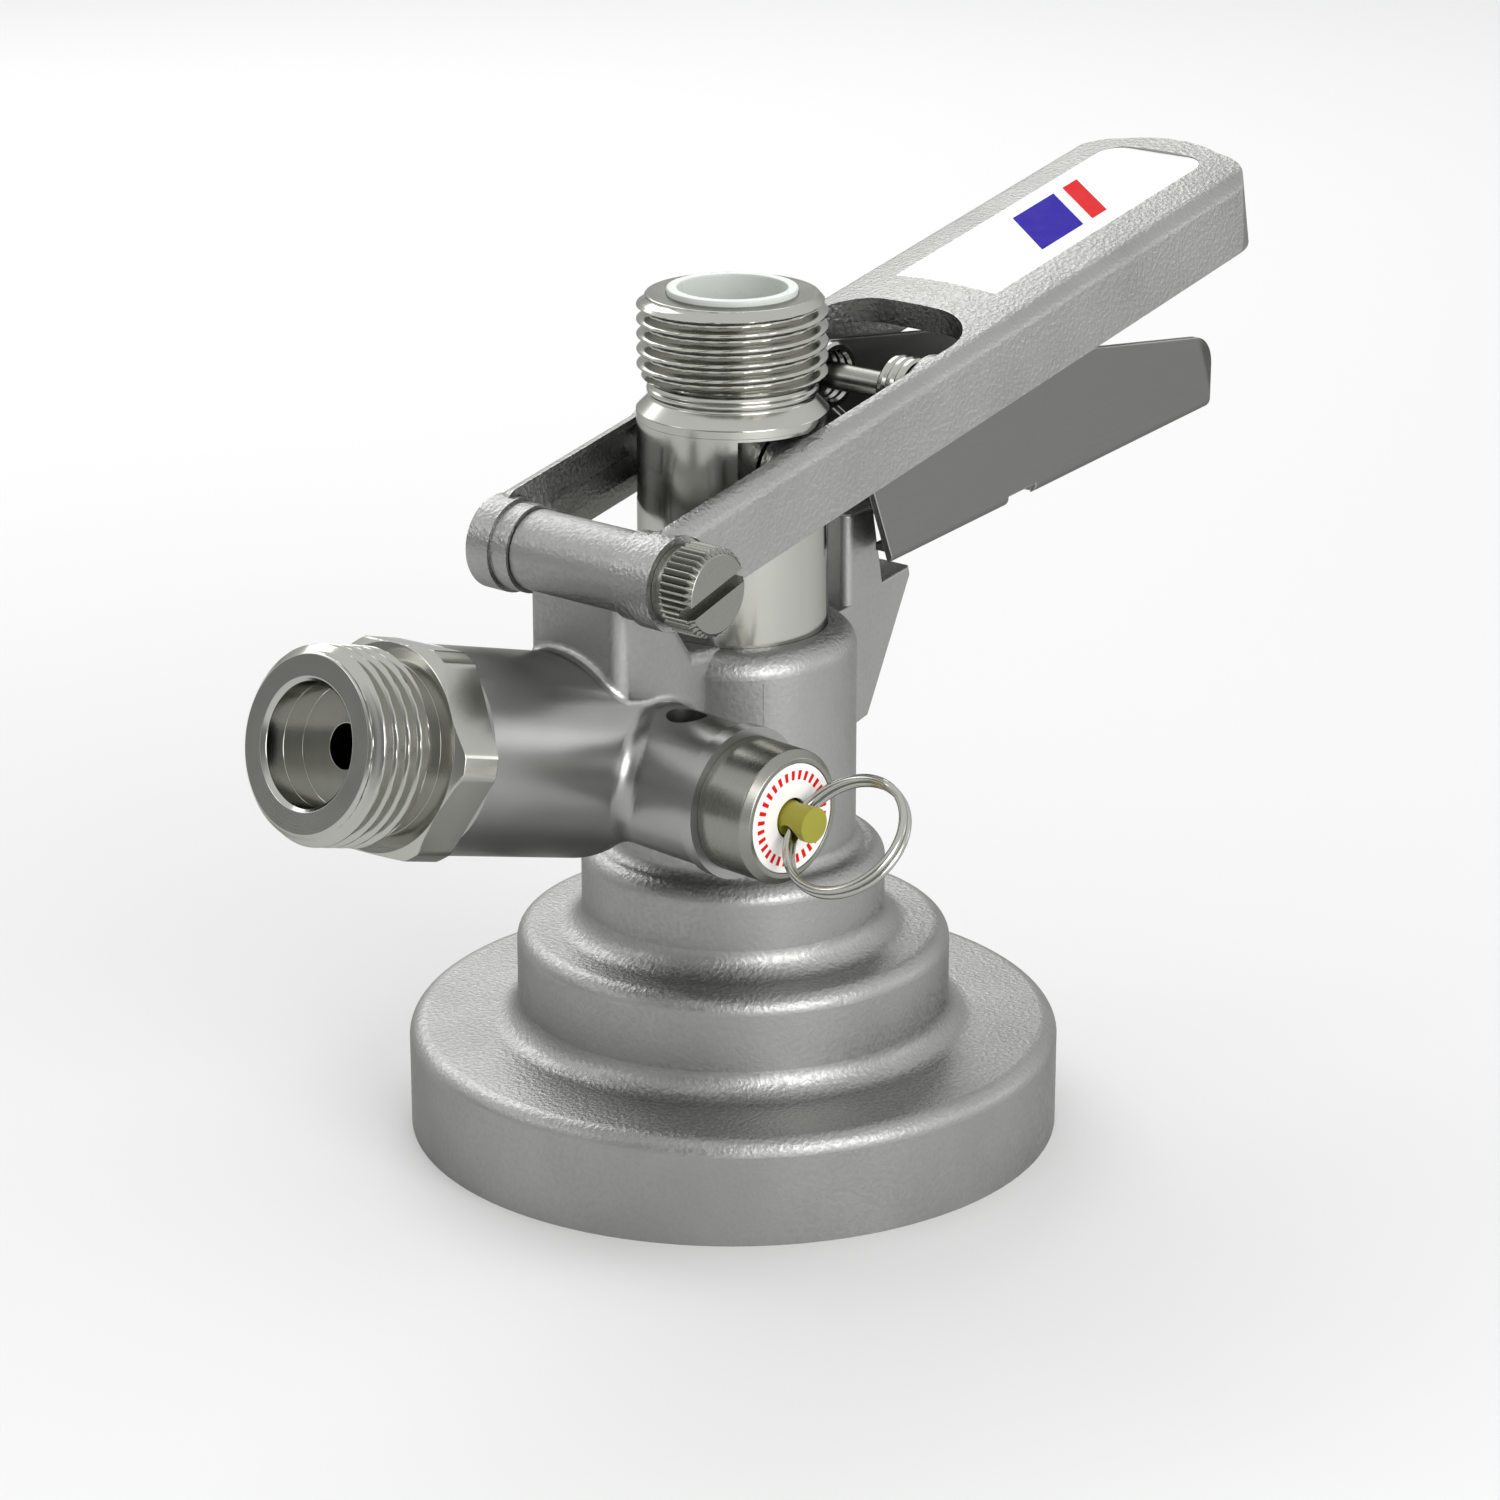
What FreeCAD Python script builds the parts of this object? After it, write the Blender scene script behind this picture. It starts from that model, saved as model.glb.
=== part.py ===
import FreeCAD, Part
import Sketcher
import math
import os

# Keg coupler: a cast lever tap head that seats on a keg's valve.
# The frame: origin at the centre of the base's underside, +Z up the probe's axis, +X under the lever's grip,
# and the knurled end of the pivot screw on the -Y side. Everything is in millimetres and degrees.
# The document is drawn as the coupler stands unused: lever raised, probe up, trigger just off its catch.

doc = FreeCAD.newDocument("KegCoupler")
sheet = doc.addObject("Spreadsheet::Sheet", "Sizes")

# The driving dimensions, one to a row: the name, the size, and what it measures.
DRIVING_SIZES = (
    ("base_radius", 40.5, "outer radius of the base skirt"),
    ("skirt_height", 13.4, "height of the skirt's flat top"),
    ("tier_two_radius", 26.9, "radius of the middle tier"),
    ("tier_two_height", 25.7, "height of the middle tier's top"),
    ("tier_three_radius", 18.8, "radius of the upper tier"),
    ("tier_three_height", 36.5, "height of the upper tier's top"),
    ("column_radius", 15.15, "outer radius of the column"),
    ("column_height", 64.6, "height of the column's rim"),
    ("edge_round", 2.1, "rounding of the tiers' top edges"),
    ("foot_round", 3.0, "fillet at the foot of a tier"),
    ("rim_round", 2.9, "rounding of the column's rim"),
    ("mouth_radius", 36.0, "inner radius of the skirt under its lugs"),
    ("mouth_step", 0.6, "how far the cavity over the lugs' undersides stands in from that radius"),
    ("mouth_depth", 9.6, "depth of the skirt's cavity"),
    ("lug_reach", 4.6, "how far a bayonet lug stands in from the skirt"),
    ("lug_height", 4.0, "thickness of a bayonet lug"),
    ("lug_lift", 3.6, "height of a lug's underside"),
    ("lug_sweep", 44.0, "angle that a lug covers"),
    ("valve_bore_radius", 22.5, "radius of the bore that takes the keg valve's collar"),
    ("valve_bore_top", 21.5, "height of the end of that bore"),
    ("lower_chamber_radius", 14.6, "radius of the gas space round the probe's seal"),
    ("lower_chamber_top", 32.0, "height of the end of that space"),
    ("upper_chamber_radius", 12.9, "radius of the gas space round the probe's stem"),
    ("chamber_roof", 2.7, "distance from that space's end up to the lower sealing ring"),
    ("stem_radius", 11.55, "outer radius of the probe's stem"),
    ("running_gap", 0.08, "radial gap of a shaft in its bore"),
    ("free_gap", 0.3, "gap between parts that pass each other"),
    ("seat_gap", 0.02, "gap that keeps curved seats from overlapping"),
    ("ring_wire", 0.95, "section radius of the column's sealing rings"),
    ("ring_spacing", 3.8, "distance between the two sealing rings"),
    ("pivot_x", -26.2, "place of the pivot along X"),
    ("pivot_z", 78.0, "height of the pivot"),
    ("barrel_radius", 4.85, "outer radius of the post's barrel"),
    ("barrel_half", 7.9, "half length of the barrel"),
    ("post_half", 7.0, "half width of the post under the barrel"),
    ("post_back", 2.3, "how far the post's outer face lies outside the pivot"),
    ("post_round", 2.0, "rounding of the post's upright corner on the relief valve's side"),
    ("post_edge", 0.6, "rounding of the post's other upright corner"),
    ("post_fillet", 1.0, "fillet round the post's foot"),
    ("post_foot_rise", 1.06, "height of the post's foot above the relief valve's axis"),
    ("slope_round", 1.6, "rounding of the post's edges down to the column's rim"),
    ("inlet_turn", 175.9, "direction of the gas inlet, from +X towards +Y"),
    ("inlet_rise", 15.7, "upward tilt of the gas inlet"),
    ("inlet_root", 46.3, "height where the inlet's axis meets the probe's axis"),
    ("inlet_length", 70.66, "distance along the inlet from the probe's axis to its end face"),
    ("inlet_pipe_radius", 12.12, "outer radius of the cast inlet pipe"),
    ("pipe_start", 22.0, "distance along the inlet to the pipe's rounded inner end"),
    ("pipe_round", 6.0, "rounding of the pipe's inner end"),
    ("nipple_length", 17.33, "length of the nipple outside the pipe"),
    ("pipe_bevel", 0.35, "bevel round the pipe's end"),
    ("thread_radius", 11.456, "crest radius of the parallel pipe thread"),
    ("thread_chamfer", 1.3, "chamfer on the thread's end"),
    ("nipple_thread", 8.2, "length of the nipple's thread"),
    ("nipple_neck_radius", 10.6, "radius of the nipple's relief neck"),
    ("hexagon_flats", 24.1, "width across the nipple's flats"),
    ("hexagon_corner", 13.3, "radius that the hexagon's corners are turned down to"),
    ("hexagon_length", 6.06, "length of the nipple's hexagon"),
    ("hexagon_twist", 29.7, "turn of the hexagon about the inlet's axis"),
    ("nipple_bore_radius", 7.1, "radius of the nipple's counterbore"),
    ("nipple_bore_depth", 6.0, "depth of the nipple's counterbore"),
    ("gas_port_radius", 2.6, "radius of the gas passage"),
    ("shank_radius", 9.0, "radius of the nipple's shank in the pipe"),
    ("shank_length", 9.6, "length of the nipple's shank"),
    ("check_radius", 6.0, "radius of the gas check valve's flange"),
    ("check_length", 9.0, "length of the gas check valve"),
    ("relief_branch", 22.7, "distance along the inlet to the relief valve's branch"),
    ("relief_length", 30.9, "distance from the inlet's axis to the relief cap's face"),
    ("relief_boss_radius", 8.6, "outer radius of the relief valve's boss"),
    ("relief_boss_length", 23.4, "length of the boss from the inlet's axis"),
    ("relief_boss_back", 8.5, "length of the boss on the other side of the inlet's axis"),
    ("boss_round", 2.5, "rounding of the boss's back end"),
    ("boss_fillet", 2.0, "fillet between the boss and the pipe"),
    ("relief_lip", 0.5, "height of the lip round the boss's end"),
    ("relief_lip_length", 1.8, "length of that lip"),
    ("relief_cap_radius", 8.0, "outer radius of the relief cap"),
    ("relief_cap_chamfer", 0.9, "chamfer on the cap's face"),
    ("relief_bore_radius", 6.0, "radius of the relief valve's chamber"),
    ("relief_seat_length", 9.8, "distance from the inlet's axis to the relief valve's seat"),
    ("relief_seat_radius", 2.4, "radius of the hole in the seat"),
    ("disc_radius", 6.5, "radius of the plain disc in the cap's face"),
    ("disc_thickness", 0.8, "thickness of that disc"),
    ("vent_radius", 2.4, "radius of the vent hole on the boss"),
    ("vent_distance", 13.8, "distance of the vent from the inlet's axis"),
    ("plunger_radius", 2.1, "radius of the relief plunger"),
    ("plunger_reach", 3.4, "how far the plunger stands out of the cap"),
    ("plunger_end", 1.0, "wall between the ring's hole and the plunger's end"),
    ("relief_travel", 2.5, "travel of the relief plunger when its ring is pulled"),
    ("pull_ring_radius", 7.45, "middle radius of the pull ring"),
    ("pull_ring_wire", 0.5, "wire radius of the pull ring"),
    ("pull_ring_turn", 43.0, "turn of the pull ring's plane about the plunger"),
    ("catch_half", 3.5, "half thickness of the latch plate"),
    ("catch_inner_x", 17.8, "place of the latch plate's inner edge"),
    ("catch_tip_x", 30.6, "place of the ledge's outer corner"),
    ("catch_ledge_z", 65.0, "height of the latch plate's ledge"),
    ("catch_ledge_depth", 5.6, "depth of the ledge"),
    ("catch_top_z", 74.4, "height of the latch plate's top"),
    ("catch_foot_x", 22.3, "place of the latch plate's lower corner"),
    ("catch_foot_z", 47.4, "height of the latch plate's lower edge"),
    ("rib_round", 1.2, "rounding of the latch plate's inner upright edge"),
    ("catch_edge", 0.35, "rounding of the latch plate's other edges"),
    ("probe_bottom", 22.0, "height of the probe's lower end"),
    ("probe_thread", 9.6, "length of the probe's thread"),
    ("neck_radius", 10.0, "radius of the neck under the thread"),
    ("collar_rise", 1.36, "height of the collar's shoulder over the driving slots"),
    ("neck_length", 1.85, "length of the neck between the collar's cone and the thread's run-out"),
    ("liner_radius", 7.85, "outer radius of the probe's liner"),
    ("liner_wall", 1.25, "wall of the liner"),
    ("liner_stand", 0.7, "how far the liner stands above the probe"),
    ("liner_length", 42.0, "length of the liner"),
    ("flow_radius", 5.2, "radius of the beer passage"),
    ("slot_floor", 7.95, "distance of the probe's flats from its axis"),
    ("tip_seal_radius", 13.6, "outer radius of the probe's lower seal"),
    ("tip_seal_length", 5.0, "length of the probe's lower seal"),
    ("tip_seal_wall", 3.0, "wall of the probe's lower seal"),
    ("ball_radius", 4.2, "radius of the outlet's check ball"),
    ("ball_lift", 3.0, "lift of the check ball"),
    ("lever_rise", 11.7, "slope of the raised lever"),
    ("lever_length", 122.6, "length of the lever from its pivot"),
    ("lever_half", 14.3, "half width of the lever"),
    ("lever_gap_half", 11.85, "half gap between the lever's arms"),
    ("lever_top", 7.05, "height of the lever's top over the pivot line"),
    ("lever_bottom", 3.75, "depth of the lever's lower edge under the pivot line"),
    ("lever_roof", 2.6, "thickness of the grip's roof"),
    ("lever_wall", 2.3, "thickness of the grip's side walls"),
    ("lever_opening", 63.4, "distance from the pivot to the end of the opening"),
    ("lever_tip_round", 7.0, "rounding of the grip's corners"),
    ("lever_edge_round", 2.2, "rounding of the lever's upper edges"),
    ("eye_radius", 5.7, "radius of the lever's eyes"),
    ("eye_shoulder", 10.7, "distance from the middle plane to the step round an eye"),
    ("eye_step", 0.4, "height of that step"),
    ("arm_end_round", 2.0, "rounding of the arms' ends"),
    ("drive_reach", 26.75, "distance from the pivot to the drive lugs along the lever"),
    ("drive_rise", 1.7, "height of the drive lugs over the pivot line"),
    ("drive_radius", 4.6, "radius of a drive lug"),
    ("panel_start", 70.5, "distance from the pivot to the panel's lower end"),
    ("panel_end", 117.6, "distance from the pivot to the panel's upper end"),
    ("panel_half", 7.9, "half width of the panel"),
    ("panel_depth", 0.6, "thickness of the panel"),
    ("screw_radius", 3.1, "radius of the pivot screw's shank"),
    ("screw_head_radius", 5.35, "radius of the screw's knurled head"),
    ("screw_head_length", 6.0, "length of the screw's head"),
    ("screw_slot", 1.6, "width of the screw's slot"),
    ("hinge_x", 25.5, "place of the trigger's pin along X"),
    ("hinge_z", 89.4, "height of the trigger's pin"),
    ("hinge_radius", 1.7, "radius of the trigger's pin"),
    ("trigger_half", 9.6, "half width of the trigger"),
    ("trigger_sheet", 1.0, "thickness of the trigger's sheet"),
    ("trigger_length", 61.9, "reach of the trigger's tail beyond its pin"),
    ("coil_radius", 3.6, "middle radius of the trigger spring's coils"),
    ("coil_wire", 0.6, "wire radius of the trigger spring"),
)


class Term:
    """A length or an angle: the sheet formula that gives it, and the number it gives now."""

    def __init__(self, text, value):
        self.text = text
        self.value = float(value)

    def __add__(self, other):
        other = term(other)
        return Term(f"({self.text} + {other.text})", self.value + other.value)

    def __sub__(self, other):
        other = term(other)
        return Term(f"({self.text} - {other.text})", self.value - other.value)

    def __mul__(self, other):
        other = term(other)
        return Term(f"({self.text} * {other.text})", self.value * other.value)

    def __truediv__(self, other):
        other = term(other)
        return Term(f"({self.text} / {other.text})", self.value / other.value)

    def __neg__(self):
        return Term(f"(0 - {self.text})", -self.value)

    __radd__ = __add__

    def __rsub__(self, other):
        return term(other) - self

    __rmul__ = __mul__


def term(number):
    return number if isinstance(number, Term) else Term(f"({float(number)})", number)


def sine(angle):
    return Term(f"sin({angle.text})", math.sin(math.radians(angle.value)))


def cosine(angle):
    return Term(f"cos({angle.text})", math.cos(math.radians(angle.value)))


def root(square):
    return Term(f"sqrt({square.text})", math.sqrt(square.value))


class Sizes:
    """The driving dimensions by name, each as a Term that points at its cell."""

    def __init__(self):
        for row, (name, number, meaning) in enumerate(DRIVING_SIZES, start=1):
            sheet.set(f"A{row}", str(number))
            sheet.setAlias(f"A{row}", name)
            sheet.set(f"B{row}", meaning)
            setattr(self, name, Term(f"Sizes.{name}", number))


size = Sizes()
doc.recompute()

ZERO = term(0)
THROUGH = 200.0
OUTSIDE = 1.0


def bind(thing, **formulas):
    for name, formula in formulas.items():
        thing.setExpression(name, term(formula).text)


def place(thing, base, axis=(0, 0, 1), angle=0):
    """Bind a placement: where the thing's own origin goes, and its turn about an axis."""
    base_text = "; ".join(term(part).text for part in base)
    axis_text = "; ".join(term(part).text for part in axis)
    thing.setExpression("Placement", f"create(<<placement>>; create(<<vector>>; {base_text}); "
                        f"create(<<rotation>>; create(<<vector>>; {axis_text}); {term(angle).text}))")


class Line:
    """A straight axis in space: a start, a direction by azimuth and elevation."""

    def __init__(self, start, azimuth, elevation):
        self.start = start
        self.azimuth = azimuth
        self.elevation = elevation
        self.heading = (cosine(azimuth) * cosine(elevation), sine(azimuth) * cosine(elevation),
                        sine(elevation))

    def point(self, distance):
        return tuple(begin + part * distance for begin, part in zip(self.start, self.heading))

    def carry(self, thing, distance=0):
        """Stand the thing's own Z along the axis, with its origin that far along it."""
        place(thing, self.point(term(distance)), (-sine(self.azimuth), cosine(self.azimuth), ZERO),
              90 - self.elevation)


def new_body(label):
    body = doc.addObject("PartDesign::Body", label)
    body.Label = label
    return body


def origin_plane(body, role):
    return next(feature for feature in body.Origin.OriginFeatures if feature.Role == role)


def vector(x, y):
    return FreeCAD.Vector(x.value, y.value, 0)


def arc_through(first, last, radius, side):
    """The minor arc between two points, bulging to the right of the way along for side +1, left for -1.

    It runs anticlockwise, as a sketch keeps its arcs, so for side -1 it starts at the last point.
    """
    chord = last - first
    half = chord.Length / 2
    middle = (first + last) / 2
    right = FreeCAD.Vector(chord.y, -chord.x, 0).normalize()
    rise = radius.value - math.sqrt(max(radius.value ** 2 - half ** 2, 0))
    summit = middle + right * rise * side
    return Part.Arc(first, summit, last) if side > 0 else Part.Arc(last, summit, first)


def add_profile(body, name, plane, corners, offset=None):
    """A closed sketch on one of the body's own planes.

    Each corner is (x, y), or (x, y, radius, side) where the edge that leaves it is an arc. Every corner is
    held by its two distances from the sketch's origin, and every arc by its radius.
    """
    sketch = body.newObject("Sketcher::SketchObject", name)
    sketch.AttachmentSupport = [(origin_plane(body, plane), "")]
    sketch.MapMode = "FlatFace"
    if offset is not None:
        sketch.setExpression("AttachmentOffset.Base.z", term(offset).text)
    corners = [(term(corner[0]), term(corner[1])) + tuple(corner[2:]) for corner in corners]
    count = len(corners)
    edges = []
    for index, corner in enumerate(corners):
        following = corners[(index + 1) % count]
        first = vector(corner[0], corner[1])
        last = vector(following[0], following[1])
        if len(corner) == 4:
            number = sketch.addGeometry(arc_through(first, last, term(corner[2]), corner[3]), False)
            turned = corner[3] < 0
        else:
            number = sketch.addGeometry(Part.LineSegment(first, last), False)
            turned = False
        edges.append((number, 2 if turned else 1, 1 if turned else 2))
    for index, corner in enumerate(corners):
        number, start, end = edges[index]
        following = edges[(index + 1) % count]
        sketch.addConstraint(Sketcher.Constraint("Coincident", number, end, following[0], following[1]))
        hold(sketch, "DistanceX", number, start, corner[0])
        hold(sketch, "DistanceY", number, start, corner[1])
        if len(corner) == 4:
            radius = term(corner[2])
            held = sketch.addConstraint(Sketcher.Constraint("Radius", number, radius.value))
            sketch.setExpression(f"Constraints[{held}]", radius.text)
    return sketch


def hold(sketch, kind, number, point, distance):
    """Hold one coordinate of a corner at a formula's value, or on the sketch's own axis when it is nil."""
    if distance.text == ZERO.text:
        axis = -2 if kind == "DistanceX" else -1
        sketch.addConstraint(Sketcher.Constraint("PointOnObject", number, point, axis))
        return
    held = sketch.addConstraint(Sketcher.Constraint(kind, -1, 1, number, point, distance.value))
    sketch.setExpression(f"Constraints[{held}]", distance.text)


def revolve(body, sketch, name, cut=False):
    """Turn a sketch on the XZ plane once round the body's Z axis."""
    kind = "PartDesign::Groove" if cut else "PartDesign::Revolution"
    feature = body.newObject(kind, name)
    feature.Profile = sketch
    feature.ReferenceAxis = (sketch, ["V_Axis"])
    feature.Angle = 360
    return feature


def pad(body, sketch, name, length, midplane=False, backward=False):
    feature = body.newObject("PartDesign::Pad", name)
    feature.Profile = sketch
    feature.Midplane = midplane
    feature.Reversed = backward
    bind(feature, Length=length)
    return feature


def pocket(body, sketch, name, length, midplane=False, backward=False):
    feature = body.newObject("PartDesign::Pocket", name)
    feature.Profile = sketch
    feature.Midplane = midplane
    feature.Reversed = backward
    bind(feature, Length=length)
    return feature


def cylinder(body, name, radius, length, cut=False):
    kind = "PartDesign::SubtractiveCylinder" if cut else "PartDesign::AdditiveCylinder"
    feature = body.newObject(kind, name)
    bind(feature, Radius=radius, Height=length)
    return feature


def box(body, name, long_x, long_y, long_z, corner, cut=False):
    kind = "PartDesign::SubtractiveBox" if cut else "PartDesign::AdditiveBox"
    feature = body.newObject(kind, name)
    bind(feature, Length=long_x, Width=long_y, Height=long_z)
    place(feature, corner)
    return feature


def cross_cylinder(body, name, radius, from_y, to_y, centre_x, centre_z, cut=False):
    """A cylinder along Y between two distances."""
    feature = cylinder(body, name, radius, to_y - from_y, cut)
    place(feature, (centre_x, from_y, centre_z), (-1, 0, 0), 90)
    return feature


def edges_where(shape, wanted):
    return [f"Edge{number}" for number, edge in enumerate(shape.Edges, start=1) if wanted(edge)]


def soften(body, name, radius, wanted, kind="PartDesign::Fillet"):
    """Round or bevel the edges of the body's last feature that the test picks out."""
    doc.recompute()
    base = body.Tip
    feature = body.newObject(kind, name)
    feature.Base = (base, edges_where(base.Shape, wanted))
    bind(feature, **({"Radius": radius} if kind.endswith("Fillet") else {"Size": radius}))
    return feature


def centred_at(point):
    """A test for the round edges about a point."""
    centre = FreeCAD.Vector(*(part.value for part in point))
    return lambda edge: hasattr(edge.Curve, "Center") and (edge.Curve.Center - centre).Length < 0.05


def bend_of(face):
    """The radius that a face bends by: nil for a flat one, and none for a free-form one."""
    surface = face.Surface
    if isinstance(surface, Part.Plane):
        return 0.0
    return getattr(surface, "MinorRadius", getattr(surface, "Radius", None))


def meeting_edges(shape, first, second):
    """The edges where a face bent by one of the first radii meets a face bent by one of the second."""
    def among(bend, radii):
        return bend is not None and any(near(bend, radius, 0.001) for radius in radii)

    found = []
    for edge in shape.Edges:
        bends = [bend_of(face) for face in shape.ancestorsOfType(edge, Part.Face)]
        if len(bends) == 2 and any(among(one, first) and among(other, second)
                                   for one, other in (bends, bends[::-1])):
            found.append(edge)
    return found


def near(number, other, slack=0.05):
    return abs(number - term(other).value) < slack


def ring_body(label, corners):
    """A body turned about its own Z axis from one closed profile of (radius, height) corners."""
    body = new_body(label)
    revolve(body, add_profile(body, label + "_profile", "XZ_Plane", corners), label + "_turned")
    return body


def round_section(middle, wire, rise=ZERO, turns=range(8)):
    """A wire's section with eight flats, as (radius, height) corners numbered up from its outer side."""
    reach = wire / cosine(term(22.5))
    return [(middle + reach * cosine(term(22.5 + 45 * turn)), rise + reach * sine(term(22.5 + 45 * turn)))
            for turn in turns]


def tube_corners(inner, outer, low, high):
    return ((inner, low), (outer, low), (outer, high), (inner, high))


pivot = (size.pivot_x, ZERO, size.pivot_z)
inlet_line = Line((ZERO, ZERO, size.inlet_root), size.inlet_turn, size.inlet_rise)
relief_line = Line(inlet_line.point(size.relief_branch), size.inlet_turn + 90, ZERO)
bore_radius = size.stem_radius + size.running_gap
pipe_end = size.inlet_length - size.nipple_length
ring_groove_floor = bore_radius + size.ring_wire * 2 + size.seat_gap
ring_groove_height = size.ring_wire * 2 + size.free_gap
upper_ring_z = size.column_height - 4.6
lower_ring_z = upper_ring_z - size.ring_spacing
upper_chamber_top = lower_ring_z - size.chamber_roof
washer_thickness = term(1.2)
socket_depth = size.shank_length + washer_thickness

# The relief valve's foot and seal in their chamber, and the cross hole that its ring hangs in.
relief_foot_radius = size.relief_bore_radius - size.free_gap * 2
relief_foot_length = term(1.6)
relief_seal_thickness = term(1.2)
ring_hole_radius = size.pull_ring_wire * 2 + size.free_gap + 0.1
ring_hole_distance = size.relief_length + size.plunger_reach - ring_hole_radius - size.plunger_end
ring_hole_line = Line(relief_line.point(ring_hole_distance), size.inlet_turn + 180, size.pull_ring_turn)
ring_centre = relief_line.point(ring_hole_distance + size.pull_ring_radius)

# Places on the lever, in its own frame and in the part's.
drive_z = size.pivot_z + size.drive_reach * sine(size.lever_rise) + size.drive_rise * cosine(size.lever_rise)
hinge_out = size.hinge_x - size.pivot_x
hinge_up = size.hinge_z - size.pivot_z
hinge_u = hinge_out * cosine(size.lever_rise) + hinge_up * sine(size.lever_rise)
hinge_w = hinge_up * cosine(size.lever_rise) - hinge_out * sine(size.lever_rise)
pin_half = size.lever_half - 1.2
screw_end = size.lever_half - 1.5
head_start = size.lever_half - 0.28

# Up the probe: the slots that the lever drives it by, its shoulder, neck and top.
slot_half = size.drive_radius + size.free_gap
collar_radius = size.stem_radius + 0.05
collar_height = drive_z + slot_half + size.collar_rise
neck_low = collar_height + collar_radius - size.neck_radius
thread_low = neck_low + size.neck_length
probe_top = thread_low + 1 + size.probe_thread

# Inside the probe: the liner's steps, the ball's seat, and where the ball stops under its bar.
liner_body = size.liner_radius - size.liner_wall
liner_low = probe_top - size.liner_length
liner_head_low = probe_top - 6
seat_radius = size.ball_radius * 0.62
seat_height = size.probe_bottom + size.tip_seal_length
ball_z = seat_height - seat_radius + size.ball_radius * root(term(2)) + size.free_gap * 1.5
retainer_low = ball_z + size.ball_lift + size.ball_radius + size.free_gap

# The lever's section, and what is let into it.
crown_drop = term(0.9)
crown_half = size.lever_half - size.lever_edge_round * 0.9
crown_radius = (crown_half * crown_half + crown_drop * crown_drop) / (crown_drop * 2)
panel_floor = size.lever_top - size.panel_depth - 0.35


def casting_outline():
    """The stepped skirt and the column, as (radius, height) corners with their rounded edges."""
    corners = [(ZERO, ZERO), (size.base_radius, ZERO)]
    tiers = ((size.base_radius, size.skirt_height, size.tier_two_radius),
             (size.tier_two_radius, size.tier_two_height, size.tier_three_radius),
             (size.tier_three_radius, size.tier_three_height, size.column_radius))
    for outer, top, inner in tiers:
        corners.append((outer, top - size.edge_round, size.edge_round, 1))
        corners.append((outer - size.edge_round, top))
        foot = size.foot_round if inner is not size.column_radius else size.edge_round * 0.7
        corners.append((inner + foot, top, foot, -1))
        corners.append((inner, top + foot))
    corners.append((size.column_radius, size.column_height - size.rim_round, size.rim_round, 1))
    corners.append((size.column_radius - size.rim_round, size.column_height))
    corners.append((ZERO, size.column_height))
    return corners


def casting_bores():
    """The stepped inside: the skirt's cavity, the keg valve's bore, two chambers and the stem's bore."""
    clear_top = size.pivot_z + size.barrel_radius * 2
    cavity_radius = size.mouth_radius - size.mouth_step
    corners = [(ZERO, term(-OUTSIDE)), (size.mouth_radius, term(-OUTSIDE)),
               (size.mouth_radius, size.lug_lift),
               (cavity_radius, size.lug_lift), (cavity_radius, size.mouth_depth),
               (size.valve_bore_radius, size.mouth_depth),
               (size.valve_bore_radius, size.valve_bore_top), (size.lower_chamber_radius,
                                                               size.valve_bore_top),
               (size.lower_chamber_radius, size.lower_chamber_top),
               (size.upper_chamber_radius, size.lower_chamber_top),
               (size.upper_chamber_radius, upper_chamber_top), (bore_radius, upper_chamber_top)]
    for height in (lower_ring_z, upper_ring_z):
        corners += [(bore_radius, height - ring_groove_height / 2),
                    (ring_groove_floor, height - ring_groove_height / 2),
                    (ring_groove_floor, height + ring_groove_height / 2),
                    (bore_radius, height + ring_groove_height / 2)]
    corners += [(bore_radius, clear_top), (ZERO, clear_top)]
    return corners


def make_inlet_casting(body):
    """The gas inlet's pipe with its rounded root, and the relief valve's boss that crosses it, blended."""
    inlet_line.carry(cylinder(body, "inlet_pipe", size.inlet_pipe_radius, pipe_end - size.pipe_start),
                     size.pipe_start)
    soften(body, "pipe_root_round", size.pipe_round, centred_at(inlet_line.point(size.pipe_start)))
    soften(body, "pipe_end_bevel", size.pipe_bevel, centred_at(inlet_line.point(pipe_end)),
           "PartDesign::Chamfer")
    relief_line.carry(cylinder(body, "relief_boss", size.relief_boss_radius,
                               size.relief_boss_length + size.relief_boss_back), -size.relief_boss_back)
    soften(body, "boss_back_round", size.boss_round, centred_at(relief_line.point(-size.relief_boss_back)))
    doc.recompute()
    joined = meeting_edges(body.Tip.Shape, (size.relief_boss_radius, size.boss_round),
                           (size.inlet_pipe_radius, size.pipe_round))
    soften(body, "boss_fillet", size.boss_fillet, lambda edge: any(edge.isSame(other) for other in joined))
    lip = cylinder(body, "relief_lip", size.relief_boss_radius + size.relief_lip, size.relief_lip_length)
    relief_line.carry(lip, size.relief_boss_length - size.relief_lip_length)


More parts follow.
